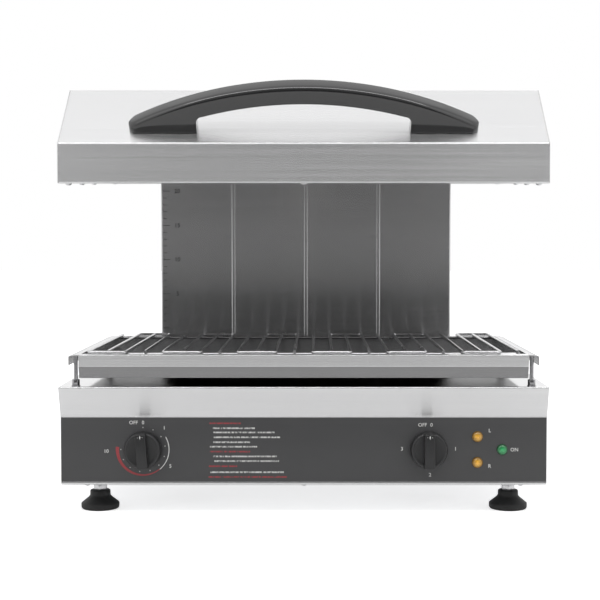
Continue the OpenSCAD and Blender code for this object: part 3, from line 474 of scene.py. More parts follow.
def round_folds(bm, offset, segments, choose=lambda middle: True):
    """Rounds the edges between faces that aren't level with each other, where their middles are chosen."""
    folds = [e for e in sharp_edges(bm, 8) if choose((e.verts[0].co + e.verts[1].co) / 2)]
    round_edges(bm, folds, offset, segments)


def face_away(bm, point):
    """Turns a sheet so that its faces look away from a point inside."""
    outwards(bm)
    total = sum(f.normal.dot(f.calc_center_median() - point) * f.calc_area() for f in bm.faces)
    if total < 0:
        bmesh.ops.reverse_faces(bm, faces=bm.faces)


def cut(bm, point, normal, drop_outer=False):
    """A straight cut through everything, which may drop what lies on the normal's side."""
    return bmesh.ops.bisect_plane(bm, geom=bm.verts[:] + bm.edges[:] + bm.faces[:], dist=WELD,
                                  plane_co=point, plane_no=normal, clear_outer=drop_outer)


def cut_across(bm, axis, places):
    """Cuts square to an axis at each of the places along it."""
    for place in places:
        cut(bm, AXES[axis] * place, AXES[axis])


def drop_faces(bm, choose):
    """Takes away the faces whose middles are chosen."""
    doomed = [f for f in bm.faces if choose(f.calc_center_median())]
    bmesh.ops.delete(bm, geom=doomed, context="FACES")


def lathe(profile, steps):
    """A turned shape about Z from a line of (radius, height)."""
    bm = bmesh.new()
    row, edges = new_line(bm, [(r, 0, z) for r, z in profile])
    bmesh.ops.spin(bm, geom=row + edges, cent=(0, 0, 0), axis=(0, 0, 1), dvec=(0, 0, 0),
                   angle=2 * pi, steps=steps, use_merge=True, use_duplicate=False)
    bmesh.ops.remove_doubles(bm, verts=bm.verts, dist=WELD)
    outwards(bm)
    return bm


def arc(centre, radii, start, end, steps):
    """Points of an arc, or of a part of an ellipse, between two angles in degrees."""
    turns = [radians(start + (end - start) * k / steps) for k in range(steps + 1)]
    return [(centre[0] + radii[0] * cos(turn), centre[1] + radii[1] * sin(turn)) for turn in turns]


def prism(sides, radius, height, soften=0.0, turn=0.0):
    """An upright prism on z = 0, turned by degrees about its axis."""
    bm = bmesh.new()
    bmesh.ops.create_circle(bm, cap_ends=True, segments=sides, radius=radius,
                            matrix=Matrix.Rotation(radians(turn), 4, "Z"))
    pull_faces(bm, bm.faces[:], (0, 0, height))
    if soften:
        round_edges(bm, sharp_edges(bm), soften, 2)
    return bm


def next_ring(bm, edges):
    """Pulls a closed ring of edges, and gives the new ring's vertices and edges and the faces between."""
    made = bmesh.ops.extrude_edge_only(bm, edges=edges)["geom"]
    ring = verts_of(made)
    return ring, [e for e in edges_of(made) if all(v in ring for v in e.verts)], faces_of(made)


def pull_wire(bm, points, radius, sides):
    """A round wire along points, closed at its ends."""
    points = [Vector(p) for p in points]
    headings = [(after - before).normalized()
                for before, after in zip(points[:1] + points, points[1:] + points[-1:])]
    ring = bmesh.ops.create_circle(bm, cap_ends=False, segments=sides, radius=radius,
                                   matrix=at(*points[0]) @ towards(headings[0]))["verts"]
    first = edges = list(dict.fromkeys(e for v in ring for e in v.link_edges))
    faces = []
    for number, place in enumerate(points[1:], 1):
        ring, edges, sides_made = next_ring(bm, edges)
        faces += sides_made
        swing = headings[number - 1].rotation_difference(headings[number]).to_matrix().to_4x4()
        bmesh.ops.transform(bm, matrix=at(*place) @ swing @ at(*-points[number - 1]), verts=ring)
    caps = bmesh.ops.holes_fill(bm, edges=first + edges, sides=0)["faces"]
    bmesh.ops.recalc_face_normals(bm, faces=faces + caps)


def bend_points(centre, first, second, radius, steps=8):
    """Points of a quarter bend from centre + first to centre + second."""
    centre, first, second = Vector(centre), Vector(first), Vector(second)
    return [centre + (first * x + second * y) for x, y in arc((0, 0), (radius, radius), 0, 90, steps)]


def merged(parts):
    """Several shapes put into one."""
    whole = bmesh.new()
    for part in parts:
        mesh = bpy.data.meshes.new("part")
        part.to_mesh(mesh)
        part.free()
        whole.from_mesh(mesh)
        bpy.data.meshes.remove(mesh)
    return whole


def moved(bm, matrix):
    bmesh.ops.transform(bm, matrix=matrix, verts=bm.verts)
    if matrix.determinant() < 0:
        bmesh.ops.reverse_faces(bm, faces=bm.faces)
    return bm


def at(x, y, z):
    return Matrix.Translation((x, y, z))


def towards(direction):
    """Turns +Z into a direction."""
    return Vector(direction).to_track_quat("Z", "Y").to_matrix().to_4x4()


MIRROR_X = Matrix.Scale(-1, 4, (1, 0, 0))


def sideways(face):
    return abs(face.normal.x) > 0.7


def piece(name, bm, body, slot, material, stands_for=(), wall=0.0, rim=0.0, smooth=35.0, others=()):
    """Puts a shape into the scene as one piece that rides on a body.

    The others are finishes, each with a test that chooses the faces that have it.
    """
    mesh = bpy.data.meshes.new(name)
    bm.normal_update()
    for number, (_, test) in enumerate(others, 1):
        for face in bm.faces:
            if test(face):
                face.material_index = number
    bm.to_mesh(mesh)
    bm.free()
    mesh.materials.append(finish(material) if isinstance(material, str) else material)
    for other, _ in others:
        mesh.materials.append(finish(other))
    mesh.shade_smooth()
    mesh.set_sharp_from_angle(angle=radians(smooth))
    made = bpy.data.objects.new(name, mesh)
    bpy.context.scene.collection.objects.link(made)
    if wall:
        shell = made.modifiers.new("wall", "SOLIDIFY")
        shell.thickness = wall
        shell.offset = -1
        shell.use_even_offset = True
    if rim:
        soft = made.modifiers.new("rim", "BEVEL")
        soft.width = rim
        soft.segments = 2
        soft.limit_method = "ANGLE"
        soft.angle_limit = radians(50)
        soft.harden_normals = True
        made.modifiers.new("shading", "WEIGHTED_NORMAL").keep_sharp = True
    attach(made, body)
    if stands_for:
        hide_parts(*stands_for)
    return made


def folded(name, bm, body, material, node, wall=SHEET, rim=FINE_RIM, **more):
    """Puts a folded steel sheet into the scene, modelled as its outer skin."""
    piece(name, bm, body, "stainless_brushed", material, [node], wall=wall, rim=rim, **more)


# ---- Base ----

BASE_FLANGE = 18 * MM
STRUT_RADIUS = 11 * MM
STRUT_HOLE = 12 * MM


def cut_strut_holes(bm):
    """Cuts an eight-sided hole in the casing's top round each strut."""
    a, b = low("strut_cylinders"), high("strut_cylinders")
    strut_x, strut_y = b.x - STRUT_RADIUS, (a.y + b.y) / 2
    for side in (-1, 1):
        for turn in range(0, 180, 45):
            way = Vector((cos(radians(turn)), sin(radians(turn)), 0))
            for end in (-1, 1):
                cut(bm, Vector((side * strut_x, strut_y, 0)) + way * STRUT_HOLE * end, way)
    drop_faces(bm, lambda c: c.z > TOP_Z - NEAR and hypot(abs(c.x) - strut_x, c.y - strut_y) < STRUT_HOLE)


def make_base_housing():
    outline = [(BASE_BACK_Y, TOP_Z), (BAND_Y, TOP_Z), (FACE_Y, PANEL_Z), (FACE_Y, BASE_Z),
               (BASE_BACK_Y, BASE_Z)]
    bm = drawn_block(outline, -HALF_W, HALF_W, "X")
    inner = HALF_W - BASE_FLANGE
    cut_across(bm, "X", (-inner, inner))
    cut_across(bm, "Y", (FACE_Y + BASE_FLANGE, BASE_BACK_Y - 3 * MM))
    drop_faces(bm, lambda c: c.z < BASE_Z + NEAR and abs(c.x) < inner and c.y > FACE_Y + BASE_FLANGE)
    drop_faces(bm, lambda c: c.y > BASE_BACK_Y - NEAR)
    cut_strut_holes(bm)
    bmesh.ops.dissolve_limit(bm, angle_limit=radians(1), verts=bm.verts, edges=bm.edges)
    ends = HALF_W - NEAR
    round_folds(bm, sizes().fold, 5, lambda c: abs(c.x) < ends)
    round_folds(bm, 1.0 * MM, 3, lambda c: abs(c.x) >= ends and c.y < BASE_BACK_Y - NEAR)
    face_away(bm, Vector((0, 0, (TOP_Z + BASE_Z) / 2)))
    # The base's upright front face gets painted shade: the darker copy of the steel
    folded("base_casing", bm, "base", "steel_across", "base_housing", rim=sizes().rim,
           others=(("steel_depth", sideways), ("base_top", lambda f: f.normal.z > 0.7),
                   ("steel_shaded", lambda f: f.normal.y < -0.999)))


def make_control_panel():
    bm = box_block(low("control_panel"), high("control_panel"))
    round_folds(bm, 0.3 * MM, 2)
    piece("panel_plate", bm, "base", "panel_coating", "panel", ["control_panel"])


class MELTER_OT_base(bpy.types.Operator):
    """Makes the folded casing of the base and its coated front panel"""
    bl_idname = "melter.base"
    bl_label = "Base casing"

    def execute(self, context):
        make_base_housing()
        make_control_panel()
        return {"FINISHED"}


# ---- Controls ----

# How far each knob's pointer stands to the left of upright, in degrees
DIAL_TURNS = {"timer": 4.0, "mode": 0.0}
# The skirt's outline, in mm inwards from the knob's radius and up
SKIRT = ((4, 0.2), (0.6, 0), (0, 0.7), (0.3, 8.6), (1, 10.6), (2.2, 11.7), (3.6, 12), (5.2, 11.6), (7, 11.4))
BAR_FOOT = 11 * MM
BAR_RISE = 10 * MM
BAR_HALF = 6.7 * MM
# The diamonds of the pointer, in mm: their middle sideways, half their width and half their height
POINTERS = ((0, 0.8, 2.6), (-2.9, 0.4, 0.6), (2.9, 0.4, 0.6))
POINTER_OUT = 17.8


def knob_shape():
    """A knob that points along +Z from its back, with its grip bar upright."""
    r = sizes().knob_radius
    rim = [(r - inwards * MM, up * MM) for inwards, up in SKIRT]
    skirt = lathe([(0, rim[0][1])] + rim + [(0, rim[-1][1])], 72)
    bar = bmesh.new()
    bmesh.ops.create_circle(bar, cap_ends=True, segments=72, radius=r - 0.25 * MM)
    crown = pull_faces(bar, bar.faces[:], (0, 0, BAR_RISE))
    bmesh.ops.scale(bar, verts=crown, vec=(0.97, 0.94, 1))
    moved(bar, at(0, 0, BAR_FOOT))
    for side in (-1, 1):
        lean = Vector((side, 0, 0.05)).normalized()
        edge = cut(bar, (side * BAR_HALF, 0, 14 * MM), lean, True)
        rims = [e for e in edges_of(edge["geom_cut"]) if e.is_boundary]
        bmesh.ops.holes_fill(bar, edges=rims, sides=0)
    outwards(bar)
    brim = [e for e in sharp_edges(bar, 40) if min(v.co.z for v in e.verts) > BAR_FOOT + 1 * MM]
    round_edges(bar, brim, 1.3 * MM, 3)
    return merged([skirt, bar])


def pointer_shape():
    """The white mark near the bar's upper end, and the two small ones beside it."""
    face, ink = BAR_FOOT + BAR_RISE, 0.08 * MM
    parts = []
    for x, half_w, half_h in POINTERS:
        diamond = [((x + a * half_w) * MM, (POINTER_OUT + b * half_h) * MM)
                   for a, b in ((-1, 0), (0, -1), (1, 0), (0, 1))]
        parts.append(drawn_block(diamond, face, face + ink, "Z"))
    return merged(parts)


def to_panel(x, z, y):
    """Turns a shape that points along +Z to point out of the panel at (x, z)."""
    return at(x, y, z) @ Matrix.Rotation(pi / 2, 4, "X")


def over(node, y=PANEL_Y):
    """Turns a shape that points along +Z to point forwards over the middle of a node."""
    middle = centre_of(node)
    return to_panel(middle.x, middle.z, y)


def make_knobs():
    for dial, turn in DIAL_TURNS.items():
        knob, body = dial + "_knob", dial + "_dial"
        place = over(dial + "_spindle", high(knob).y) @ Matrix.Rotation(radians(turn), 4, "Z")
        piece(dial + "_grip", moved(knob_shape(), place), body, "knob_plastic", "knob", [knob])
        piece(dial + "_pointer", moved(pointer_shape(), place), body, "knob_plastic", "marks")


class MELTER_OT_knobs(bpy.types.Operator):
    """Makes the two knobs with their grip bars and pointers"""
    bl_idname = "melter.knobs"
    bl_label = "Knobs"

    def execute(self, context):
        make_knobs()
        return {"FINISHED"}


def lettering(text, size, matrix):
    """Letters as a solid, standing on the plane z = 0 of matrix."""
    height = sizes().mark_height
    curve = bpy.data.curves.new("letters", "FONT")
    curve.body = text
    curve.size = size
    curve.align_x = "CENTER"
    curve.align_y = "CENTER"
    curve.resolution_u = 3
    curve.offset = size * 0.012
    curve.extrude = height / 2
    holder = bpy.data.objects.new("letters", curve)
    bpy.context.scene.collection.objects.link(holder)
    bpy.context.view_layer.update()
    mesh = bpy.data.meshes.new_from_object(holder.evaluated_get(bpy.context.evaluated_depsgraph_get()))
    bm = bmesh.new()
    bm.from_mesh(mesh)
    bmesh.ops.remove_doubles(bm, verts=bm.verts, dist=WELD)
    bpy.data.objects.remove(holder)
    bpy.data.curves.remove(curve)
    bpy.data.meshes.remove(mesh)
    return moved(bm, matrix @ at(0, 0, height / 2))


def ring_mark(radius, start, end, width, fade=0.0):
    """A flat arc in the dial's plane, which fades in from its start; angles run clockwise from the top."""
    steps = max(6, int(abs(end - start) / 4))
    bm = bmesh.new()
    row = []
    for k in range(steps + 1):
        share = k / steps
        half = width / 2 * (1 - fade * (1 - share))
        way = Matrix.Rotation(-radians(start + (end - start) * share), 3, "Z") @ Vector((0, 1, 0))
        row.append([bm.verts.new(way * (radius + side * half)) for side in (-1, 1)])
    faces = [bm.faces.new((a[0], a[1], b[1], b[0])) for a, b in zip(row, row[1:])]
    pull_faces(bm, faces, (0, 0, sizes().mark_height))
    return bm


# Words by the middle of a node: each with its place sideways and up, in mm
WORDS = {
    "timer_spindle": (("OFF", -11.6, 33.2), ("0", 0.1, 33.2), ("1", 26.2, 26.7), ("5", 33.6, -20.7),
                      ("10", -45.4, -2.2)),
    "mode_spindle": (("OFF", -7.8, 30.4), ("0", 3.3, 30.4), ("1", 33.0, 0.7), ("2", 1.7, -31.5),
                     ("3", -33.0, 0.7)),
    "lamp_lens_left": (("L", 15.0, 7.4),),
    "lamp_lens_right": (("R", 15.0, -4.6),),
    "lamp_lens_power": (("ON", 15.0, -0.3),),
}
WORD_SIZE = 6.2 * MM
DOT_STEPS = 10
DOT_CIRCLE = 27.4 * MM
DOT_RADIUS = 0.62 * MM
# Rows of the instruction block, as plain bars: pile, left end, right end and height on the panel in mm
TEXT_ROWS = (
    ("warm", -115.9, -77.6, 114.5), ("plain", -111.8, -60.1, 108.4), ("plain", -111.4, -36.1, 103.2),
    ("plain", -111.4, -29.2, 97.2), ("plain", -111.4, -66.2, 91.1), ("plain", -116.0, -57.5, 85.5),
    ("warm", -115.5, -66.2, 79.4), ("plain", -111.5, -33.3, 73.5), ("plain", -110.1, -30.6, 67.7),
    ("warm", -116.9, -82.2, 61.3), ("plain", -115.1, -24.6, 53.9), ("warm", -117.8, -20.3, 48.0),
)
ROW_HALF = 0.95 * MM


def make_dial_marks():
    timer = over("timer_spindle")
    height = sizes().mark_height
    dots = arc((0, 0), (DOT_CIRCLE, DOT_CIRCLE), 90, -180, DOT_STEPS)
    plain = [moved(prism(12, DOT_RADIUS, height), timer @ at(x, y, 0)) for x, y in dots]
    plain.append(moved(ring_mark(32 * MM, 61, 140, 1.0 * MM), timer))
    for node, words in WORDS.items():
        plain += [lettering(word, WORD_SIZE, over(node) @ at(x * MM, y * MM, 0)) for word, x, y in words]
    warm = moved(ring_mark(31.6 * MM, 140, 276, 4.2 * MM, 0.75), timer)
    rows = {"plain": [], "warm": []}
    for pile, left, right, up in TEXT_ROWS:
        rows[pile].append(box_block((left * MM, PANEL_Y - height, up * MM - ROW_HALF),
                                    (right * MM, PANEL_Y, up * MM + ROW_HALF)))
    for name, shape, ink in (("dial_marks", merged(plain), "marks"), ("dial_warm_arc", warm, "warm_marks"),
                             ("text_rows", merged(rows["plain"]), "row_marks"),
                             ("warm_text_rows", merged(rows["warm"]), "warm_rows")):
        piece(name, shape, "base", "panel_coating", ink)


class MELTER_OT_dial_marks(bpy.types.Operator):
    """Prints the numbers, dots and arcs around the knobs and lamps, and the rows of the instruction block"""
    bl_idname = "melter.dial_marks"
    bl_label = "Dial marks"

    def execute(self, context):
        make_dial_marks()
        return {"FINISHED"}


LENS_TONES = {"left": "amber", "right": "amber", "power": "green"}
COLLAR = ((0, 0), (6.9, 0), (7, 0.3), (6.7, 1.0), (6.1, 1.3))


def make_lamps():
    profile = [(r * MM, z * MM) for r, z in COLLAR] + arc((0, 1.3 * MM), (6 * MM, 2.6 * MM), 0, 90, 6)
    for place, tone in LENS_TONES.items():
        node = "lamp_lens_" + place
        middle = centre_of(node)
        glass = lens_glass("melter_" + node, tuple(getattr(colours(), tone)),
                           (middle.x, PANEL_Y - 3 * MM, middle.z))
        piece(node + "_dome", moved(lathe(profile, 40), over(node)), "base", "lens_" + tone, glass, [node])


class MELTER_OT_lamps(bpy.types.Operator):
    """Makes the domed lenses of the signal lamps"""
    bl_idname = "melter.lamps"
    bl_label = "Signal lamps"

    def execute(self, context):
        make_lamps()
        return {"FINISHED"}


# ---- Feet ----

# Outline of the rubber pad, as radius and height in mm
PAD = ((0, 0), (21.2, 0), (22.6, 0.4), (23.6, 1.6), (23.95, 3.0), (24, 6.6), (23.7, 7.6), (22.6, 8.5),
       (19.5, 11.0), (16.2, 13.6), (14.2, 15.4), (13.1, 16.8), (12.8, 18.2), (12.8, 22.4), (12.3, 23.4),
       (11.4, 24), (0, 24))
PAD_TOP = 24 * MM
HEXAGON_RISE = 7 * MM
THREAD_PITCH = 1.0 * MM


def threaded_stud(bottom, top):
    """The stud above its hexagon, with a ridge at each pitch."""
    root, crest = 4.5 * MM, 5.0 * MM
    profile, z = [(0, bottom)], bottom
    while z < top - 1.2 * MM:
        profile += [(root, z), (crest, z + 0.4 * MM), (crest, z + 0.6 * MM)]
        z += THREAD_PITCH
    return lathe(profile + [(root, z), (4.2 * MM, top), (0, top)], 24)


def make_feet():
    for corner in ("front_left", "front_right", "rear_left", "rear_right"):
        pad, stud, body = "foot_pad_" + corner, "foot_stud_" + corner, "foot_" + corner
        middle = centre_of(pad)
        here = at(middle.x, middle.y, 0)
        shape = lathe([(r * MM, z * MM) for r, z in PAD], 64)
        piece(pad + "_moulding", moved(shape, here), body, "foot_rubber", "rubber", [pad], smooth=40)
        hexagon = moved(prism(6, 9 * MM, HEXAGON_RISE, 0.5 * MM), at(0, 0, PAD_TOP))
        steel = merged([hexagon, threaded_stud(PAD_TOP + HEXAGON_RISE, high(stud).z)])
        piece(stud + "_thread", moved(steel, here), body, "bright_steel", "bright", [stud])


class MELTER_OT_feet(bpy.types.Operator):
    """Makes the rubber feet with their hexagons and threads"""
    bl_idname = "melter.feet"
    bl_label = "Levelling feet"

    def execute(self, context):
        make_feet()
        return {"FINISHED"}


# ---- Tower ----

TOWER_FRONT_Y = LIP_Y + 339 * MM
TOWER_DEPTH = 130 * MM
TOWER_FLANGE = 14 * MM
ARM_Y = TOWER_FRONT_Y + 62 * MM
SLOT_HALF = 7 * MM
HOOD_TRAVEL = 200 * MM
RIB_HALF = 2.5 * MM
RIB_OUT = 0.9 * MM


def make_tower_cover():
    half, back = TOWER_HALF, TOWER_FRONT_Y + TOWER_DEPTH
    line = [(half - TOWER_FLANGE, back), (half, back), (half, TOWER_FRONT_Y)]
    for middle in (half / 2, 0, -half / 2):
        line += arc((middle, TOWER_FRONT_Y), (RIB_HALF, -RIB_OUT), 0, 180, 12)
    line += [(-half, TOWER_FRONT_Y), (-half, back), (TOWER_FLANGE - half, back)]
    bm = drawn_sheet(line, TOP_Z + 0.05 * MM, TOWER_TOP, "Z")
    slot_low, slot_high = low("carriage").z - HOOD_TRAVEL - 6 * MM, high("carriage").z + 4 * MM
    cut_across(bm, "Y", (ARM_Y - SLOT_HALF, ARM_Y + SLOT_HALF))
    cut_across(bm, "Z", (slot_low, slot_high))
    drop_faces(bm, lambda c: (abs(c.x) > half - NEAR and abs(c.y - ARM_Y) < SLOT_HALF
                              and slot_low < c.z < slot_high))
    round_folds(bm, 2.4 * MM, 4, lambda c: abs(c.x) > half - NEAR)
    face_away(bm, Vector((0, (TOWER_FRONT_Y + back) / 2, (TOP_Z + TOWER_TOP) / 2)))
    # The cover's front gets the painted shade of the darker steel; its sides keep the plain steel
    folded("tower_cover", bm, "base", "tower_steel", "tower_front_cover", smooth=30,
           others=(("steel_depth", sideways),))


TICK_HALF = 0.35 * MM
SHORT_TICK = 5.2 * MM
LONG_TICK = 9.5 * MM
NUMBER_SIZE = 8.5 * MM
NUMBER_OFFSET = 20.5 * MM


def make_height_scale():
    """Ticks up the tower's left edge, with a long one and a number at each fifth."""
    s = sizes()
    left, zero = 3.5 * MM - TOWER_HALF, TOP_Z + 49.4 * MM
    marks = []
    for k in range(s.tick_count + 1):
        z = zero + s.tick_pitch * k
        reach = SHORT_TICK if k % 5 else LONG_TICK
        marks.append(box_block((left, TOWER_FRONT_Y - s.mark_height, z - TICK_HALF),
                               (left + reach, TOWER_FRONT_Y - 0.005 * MM, z + TICK_HALF)))
        if k and k % 5 == 0:
            marks.append(lettering(str(k), NUMBER_SIZE, to_panel(left + NUMBER_OFFSET, z, TOWER_FRONT_Y)))
    piece("height_scale", merged(marks), "base", "stainless_brushed", "dark_marks")


class MELTER_OT_tower(bpy.types.Operator):
    """Makes the tower's folded front cover with its ribs, slots and height scale"""
    bl_idname = "melter.tower"
    bl_label = "Tower"

    def execute(self, context):
        make_tower_cover()
        make_height_scale()
        return {"FINISHED"}


# ---- Rails, tray and rack ----

STUD_RADIUS = 2.5 * MM
STUD_DEPTH = 8 * MM
WASHER = 0.6 * MM


def make_rails():
    for node in ("rail_left", "rail_right"):
        a, b = low(node), high(node)
        inner, outer = sorted((a.x, b.x), key=abs)
        bm = drawn_sheet([(inner, b.z), (outer, b.z), (outer, a.z)], a.y, b.y, "Y")
        round_folds(bm, 1.6 * MM, 4)
        face_away(bm, Vector((inner, 0, a.z)))
        folded(node + "_angle", bm, "base", "steel_rail", node)
    a, b = low("rail_studs"), high("rail_studs")
    rise = b.z - TOP_Z
    stud = [(0, -STUD_DEPTH), (2.4 * MM, -STUD_DEPTH), (STUD_RADIUS, 0), (STUD_RADIUS, rise), (0, rise)]
    washer = [(0, 0), (5.4 * MM, 0), (5.5 * MM, WASHER / 2), (5.4 * MM, WASHER), (0, WASHER)]
    studs, nuts = [], []
    for x in (a.x + STUD_RADIUS, b.x - STUD_RADIUS):
        for y in (a.y + STUD_RADIUS, b.y - STUD_RADIUS):
            studs.append(moved(lathe(stud, 24), at(x, y, TOP_Z)))
            nuts.append(moved(prism(6, 4.85 * MM, 7.4 * MM, 0.6 * MM, 30), at(x, y, TOP_Z + WASHER)))
            nuts.append(moved(lathe(washer, 24), at(x, y, TOP_Z + 0.02 * MM)))
    # The studs and nuts take the darker copy of the bright steel as painted shade
    piece("rail_posts", merged(studs), "base", "bright_steel", "stud", ["rail_studs"])
    piece("rail_post_nuts", merged(nuts), "base", "bright_steel", "stud", ["rail_nuts"])


class MELTER_OT_rails(bpy.types.Operator):
    """Makes the two rails on their studs and nuts"""
    bl_idname = "melter.rails"
    bl_label = "Rails"

    def execute(self, context):
        make_rails()
        return {"FINISHED"}


TRAY_SHEET = 1.0 * MM
TRAY_LEAN = 5 * MM
FRONT_RIM = 16 * MM
REAR_RIM = 12 * MM
TRAY_FLANGE = 8 * MM


def make_tray():
    a, b = low("drip_tray"), high("drip_tray")
    half = b.x - TRAY_FLANGE
    bend = (a.z + b.z) / 2
    line = [(a.y + FRONT_RIM, b.z), (a.y, b.z), (a.y, bend), (a.y + TRAY_LEAN, a.z), (b.y, a.z), (b.y, b.z),
            (b.y - REAR_RIM, b.z)]
    pan = drawn_sheet(line, -half, half, "X")
    round_folds(pan, 1.0 * MM, 4)
    face_away(pan, Vector((0, (a.y + b.y) / 2, bend)))
    folded("tray_pan", pan, "tray", "steel_across", "drip_tray", wall=TRAY_SHEET,
           # The tray's floor gets painted shade: the much darker copy of the steel
           others=(("tray_floor", lambda f: f.calc_center_median().z < a.z + 1 * MM),
                   # The tray's lower front band gets painted shade: the darker copy of the steel
                   ("steel_shaded", lambda f: f.normal.y < -0.7 and f.normal.z < -0.15)))
    hide = 0.15 * MM
    inner = half - TRAY_SHEET
    outline = [(a.y + hide, b.z - hide), (a.y + hide, bend), (a.y + TRAY_LEAN + hide, a.z + hide),
               (b.y - hide, a.z + hide), (b.y - hide, b.z - hide)]
    sides = []
    for side in (-1, 1):
        wall = drawn_block(outline, inner, half - hide, "X")
        flange = box_block((inner, a.y, b.z - TRAY_SHEET), (b.x, b.y, b.z - 0.02 * MM))
        round_folds(flange, 0.3 * MM, 2, lambda c: c.x > b.x - NEAR)
        sides += [part if side > 0 else moved(part, MIRROR_X) for part in (wall, flange)]
    piece("tray_sides", merged(sides), "tray", "stainless_brushed", "steel_depth")


class MELTER_OT_tray(bpy.types.Operator):
    """Makes the folded drip tray"""
    bl_idname = "melter.tray"
    bl_label = "Drip tray"

    def execute(self, context):
        make_tray()
        return {"FINISHED"}


ROD_COUNT = 24
ROD_SHORTER = 8 * MM
PIN_CORNER = 5 * MM
FRONT_CROSS = 13.5 * MM
REAR_CROSS = 21 * MM


def hairpin(bm, x, pitch, closed, open_end, z):
    """One bent wire: two legs joined by a closed end."""
    way = 1 if open_end > closed else -1
    r = PIN_CORNER
    left, right, halfway = x - pitch, x + pitch, (open_end + closed) / 2
    points = [(left, open_end, z), (left, halfway, z)]
    points += bend_points((left + r, closed + way * r, z), (-1, 0, 0), (0, -way, 0), r)
    points += [(x, closed, z)]
    points += bend_points((right - r, closed + way * r, z), (0, -way, 0), (1, 0, 0), r)
    points += [(right, halfway, z), (right, open_end, z)]
    pull_wire(bm, points, sizes().wire, 12)


def make_rack():
    wire = sizes().wire
    inset = Vector((2, 2, 2)) * MM
    a, b = low("wire_rack") + inset, high("wire_rack") - inset
    pitch = 2 * b.x / (ROD_COUNT - 1)
    bm = bmesh.new()
    for k in range(1, ROD_COUNT, 4):
        hairpin(bm, -b.x + k * pitch, pitch, a.y, b.y - ROD_SHORTER, b.z)
        hairpin(bm, -b.x + (k + 1) * pitch, pitch, b.y, a.y + ROD_SHORTER, b.z)
    end, z = b.x + wire, b.z - 2 * wire + 0.6 * MM
    for y in (a.y + FRONT_CROSS, b.y - REAR_CROSS):
        pull_wire(bm, [(-end, y, z), (0, y, z), (end, y, z)], wire, 12)
    piece("rack_wires", bm, "rack", "rack_wire", "wire", ["wire_rack"], smooth=60)


class MELTER_OT_rack(bpy.types.Operator):
    """Makes the rack from bent wires on cross wires"""
    bl_idname = "melter.rack"
    bl_label = "Wire rack"

    def execute(self, context):
        make_rack()
        return {"FINISHED"}


# ---- Hood ----

LIP_FLANGE = 14 * MM
SIDE_FLANGE = 16 * MM
NOTCH_Y = TOWER_FRONT_Y - 5 * MM


def make_hood_wrap():
    a, b = low("hood_wrap"), high("hood_wrap")
    crown, shoulder, lip = (LIP_Y + SLOPE_RUN, CROWN_Z), (LIP_Y, SHOULDER_Z), (LIP_Y, LIP_Z)
    bm = drawn_sheet([(b.y, CROWN_Z), crown, shoulder, lip, (LIP_Y + LIP_FLANGE, LIP_Z)], a.x, b.x, "X")
    cut_across(bm, "X", (-NOTCH_HALF, NOTCH_HALF))
    cut_across(bm, "Y", (NOTCH_Y,))
    drop_faces(bm, lambda c: abs(c.x) < NOTCH_HALF and c.y > NOTCH_Y)
    bmesh.ops.dissolve_limit(bm, angle_limit=radians(1), verts=bm.verts, edges=bm.edges)
    for (y, z), radius in ((crown, 1.4 * MM), (shoulder, 1.6 * MM), (lip, 2.2 * MM)):
        round_folds(bm, radius, 5, lambda c: hypot(c.y - y, c.z - z) < NEAR)
    face_away(bm, Vector((0, LIP_Y + SLOPE_RUN, LIP_Z)))
    folded("hood_skin", bm, "hood", "steel_across", "hood_wrap")


def make_hood_sides():
    hide = 0.05 * MM
    start = LIP_Y + LIP_FLANGE + 0.2 * MM
    outline = [(HOOD_BACK_Y, CROWN_Z - hide), (LIP_Y + SLOPE_RUN, CROWN_Z - hide), (LIP_Y + hide, SHOULDER_Z),
               (LIP_Y + hide, LIP_Z + 1.0 * MM), (LIP_Y + 1.5 * MM, LIP_Z + hide), (start, LIP_Z + hide),
               (HOOD_BACK_Y, under(HOOD_BACK_Y))]
    strip = [(start, under(start)), (HOOD_BACK_Y, under(HOOD_BACK_Y)),
             (HOOD_BACK_Y, under(HOOD_BACK_Y) + SHEET), (start, under(start) + SHEET)]
    for node in ("hood_side_left", "hood_side_right"):
        plate = drawn_block(outline, HALF_W - SHEET, HALF_W, "X")
        round_folds(plate, 0.4 * MM, 2, lambda c: c.x > HALF_W - NEAR)
        flange = drawn_block(strip, HALF_W - SIDE_FLANGE + 0.6 * MM, HALF_W - SHEET, "X")
        whole = merged([plate, flange])
        if node.endswith("left"):
            moved(whole, MIRROR_X)
        piece(node + "_plate", whole, "hood", "stainless_brushed", "steel_depth", [node])


def make_hood_back():
    edge, wall = HALF_W - SHEET - 0.2 * MM, HOOD_BACK_Y
    line = [(edge, wall), (NOTCH_HALF, wall), (NOTCH_HALF, NOTCH_Y)]
    line += [(-x, y) for x, y in reversed(line)]
    bm = drawn_sheet(line, LIP_Z, high("hood_back").z, "Z")
    slope = Vector((0, UNDER_RISE, -HOOD_DEPTH)).normalized()
    cut(bm, (0, LIP_Y, LIP_Z + 1.4 * MM), slope, True)
    round_folds(bm, 2.4 * MM, 4)
    outwards(bm)
    rear = max(bm.faces, key=lambda f: f.calc_center_median().y)
    if rear.normal.y < 0:
        bmesh.ops.reverse_faces(bm, faces=bm.faces)
    folded("hood_rear_walls", bm, "hood", "steel_across", "hood_back")


class MELTER_OT_hood(bpy.types.Operator):
    """Makes the folded skin, side plates and rear walls of the hood"""
    bl_idname = "melter.hood"
    bl_label = "Hood"

    def execute(self, context):
        make_hood_wrap()
        make_hood_sides()
        make_hood_back()
        return {"FINISHED"}


TUBE_RADIUS = 4 * MM
TUBE_RISER = 15 * MM


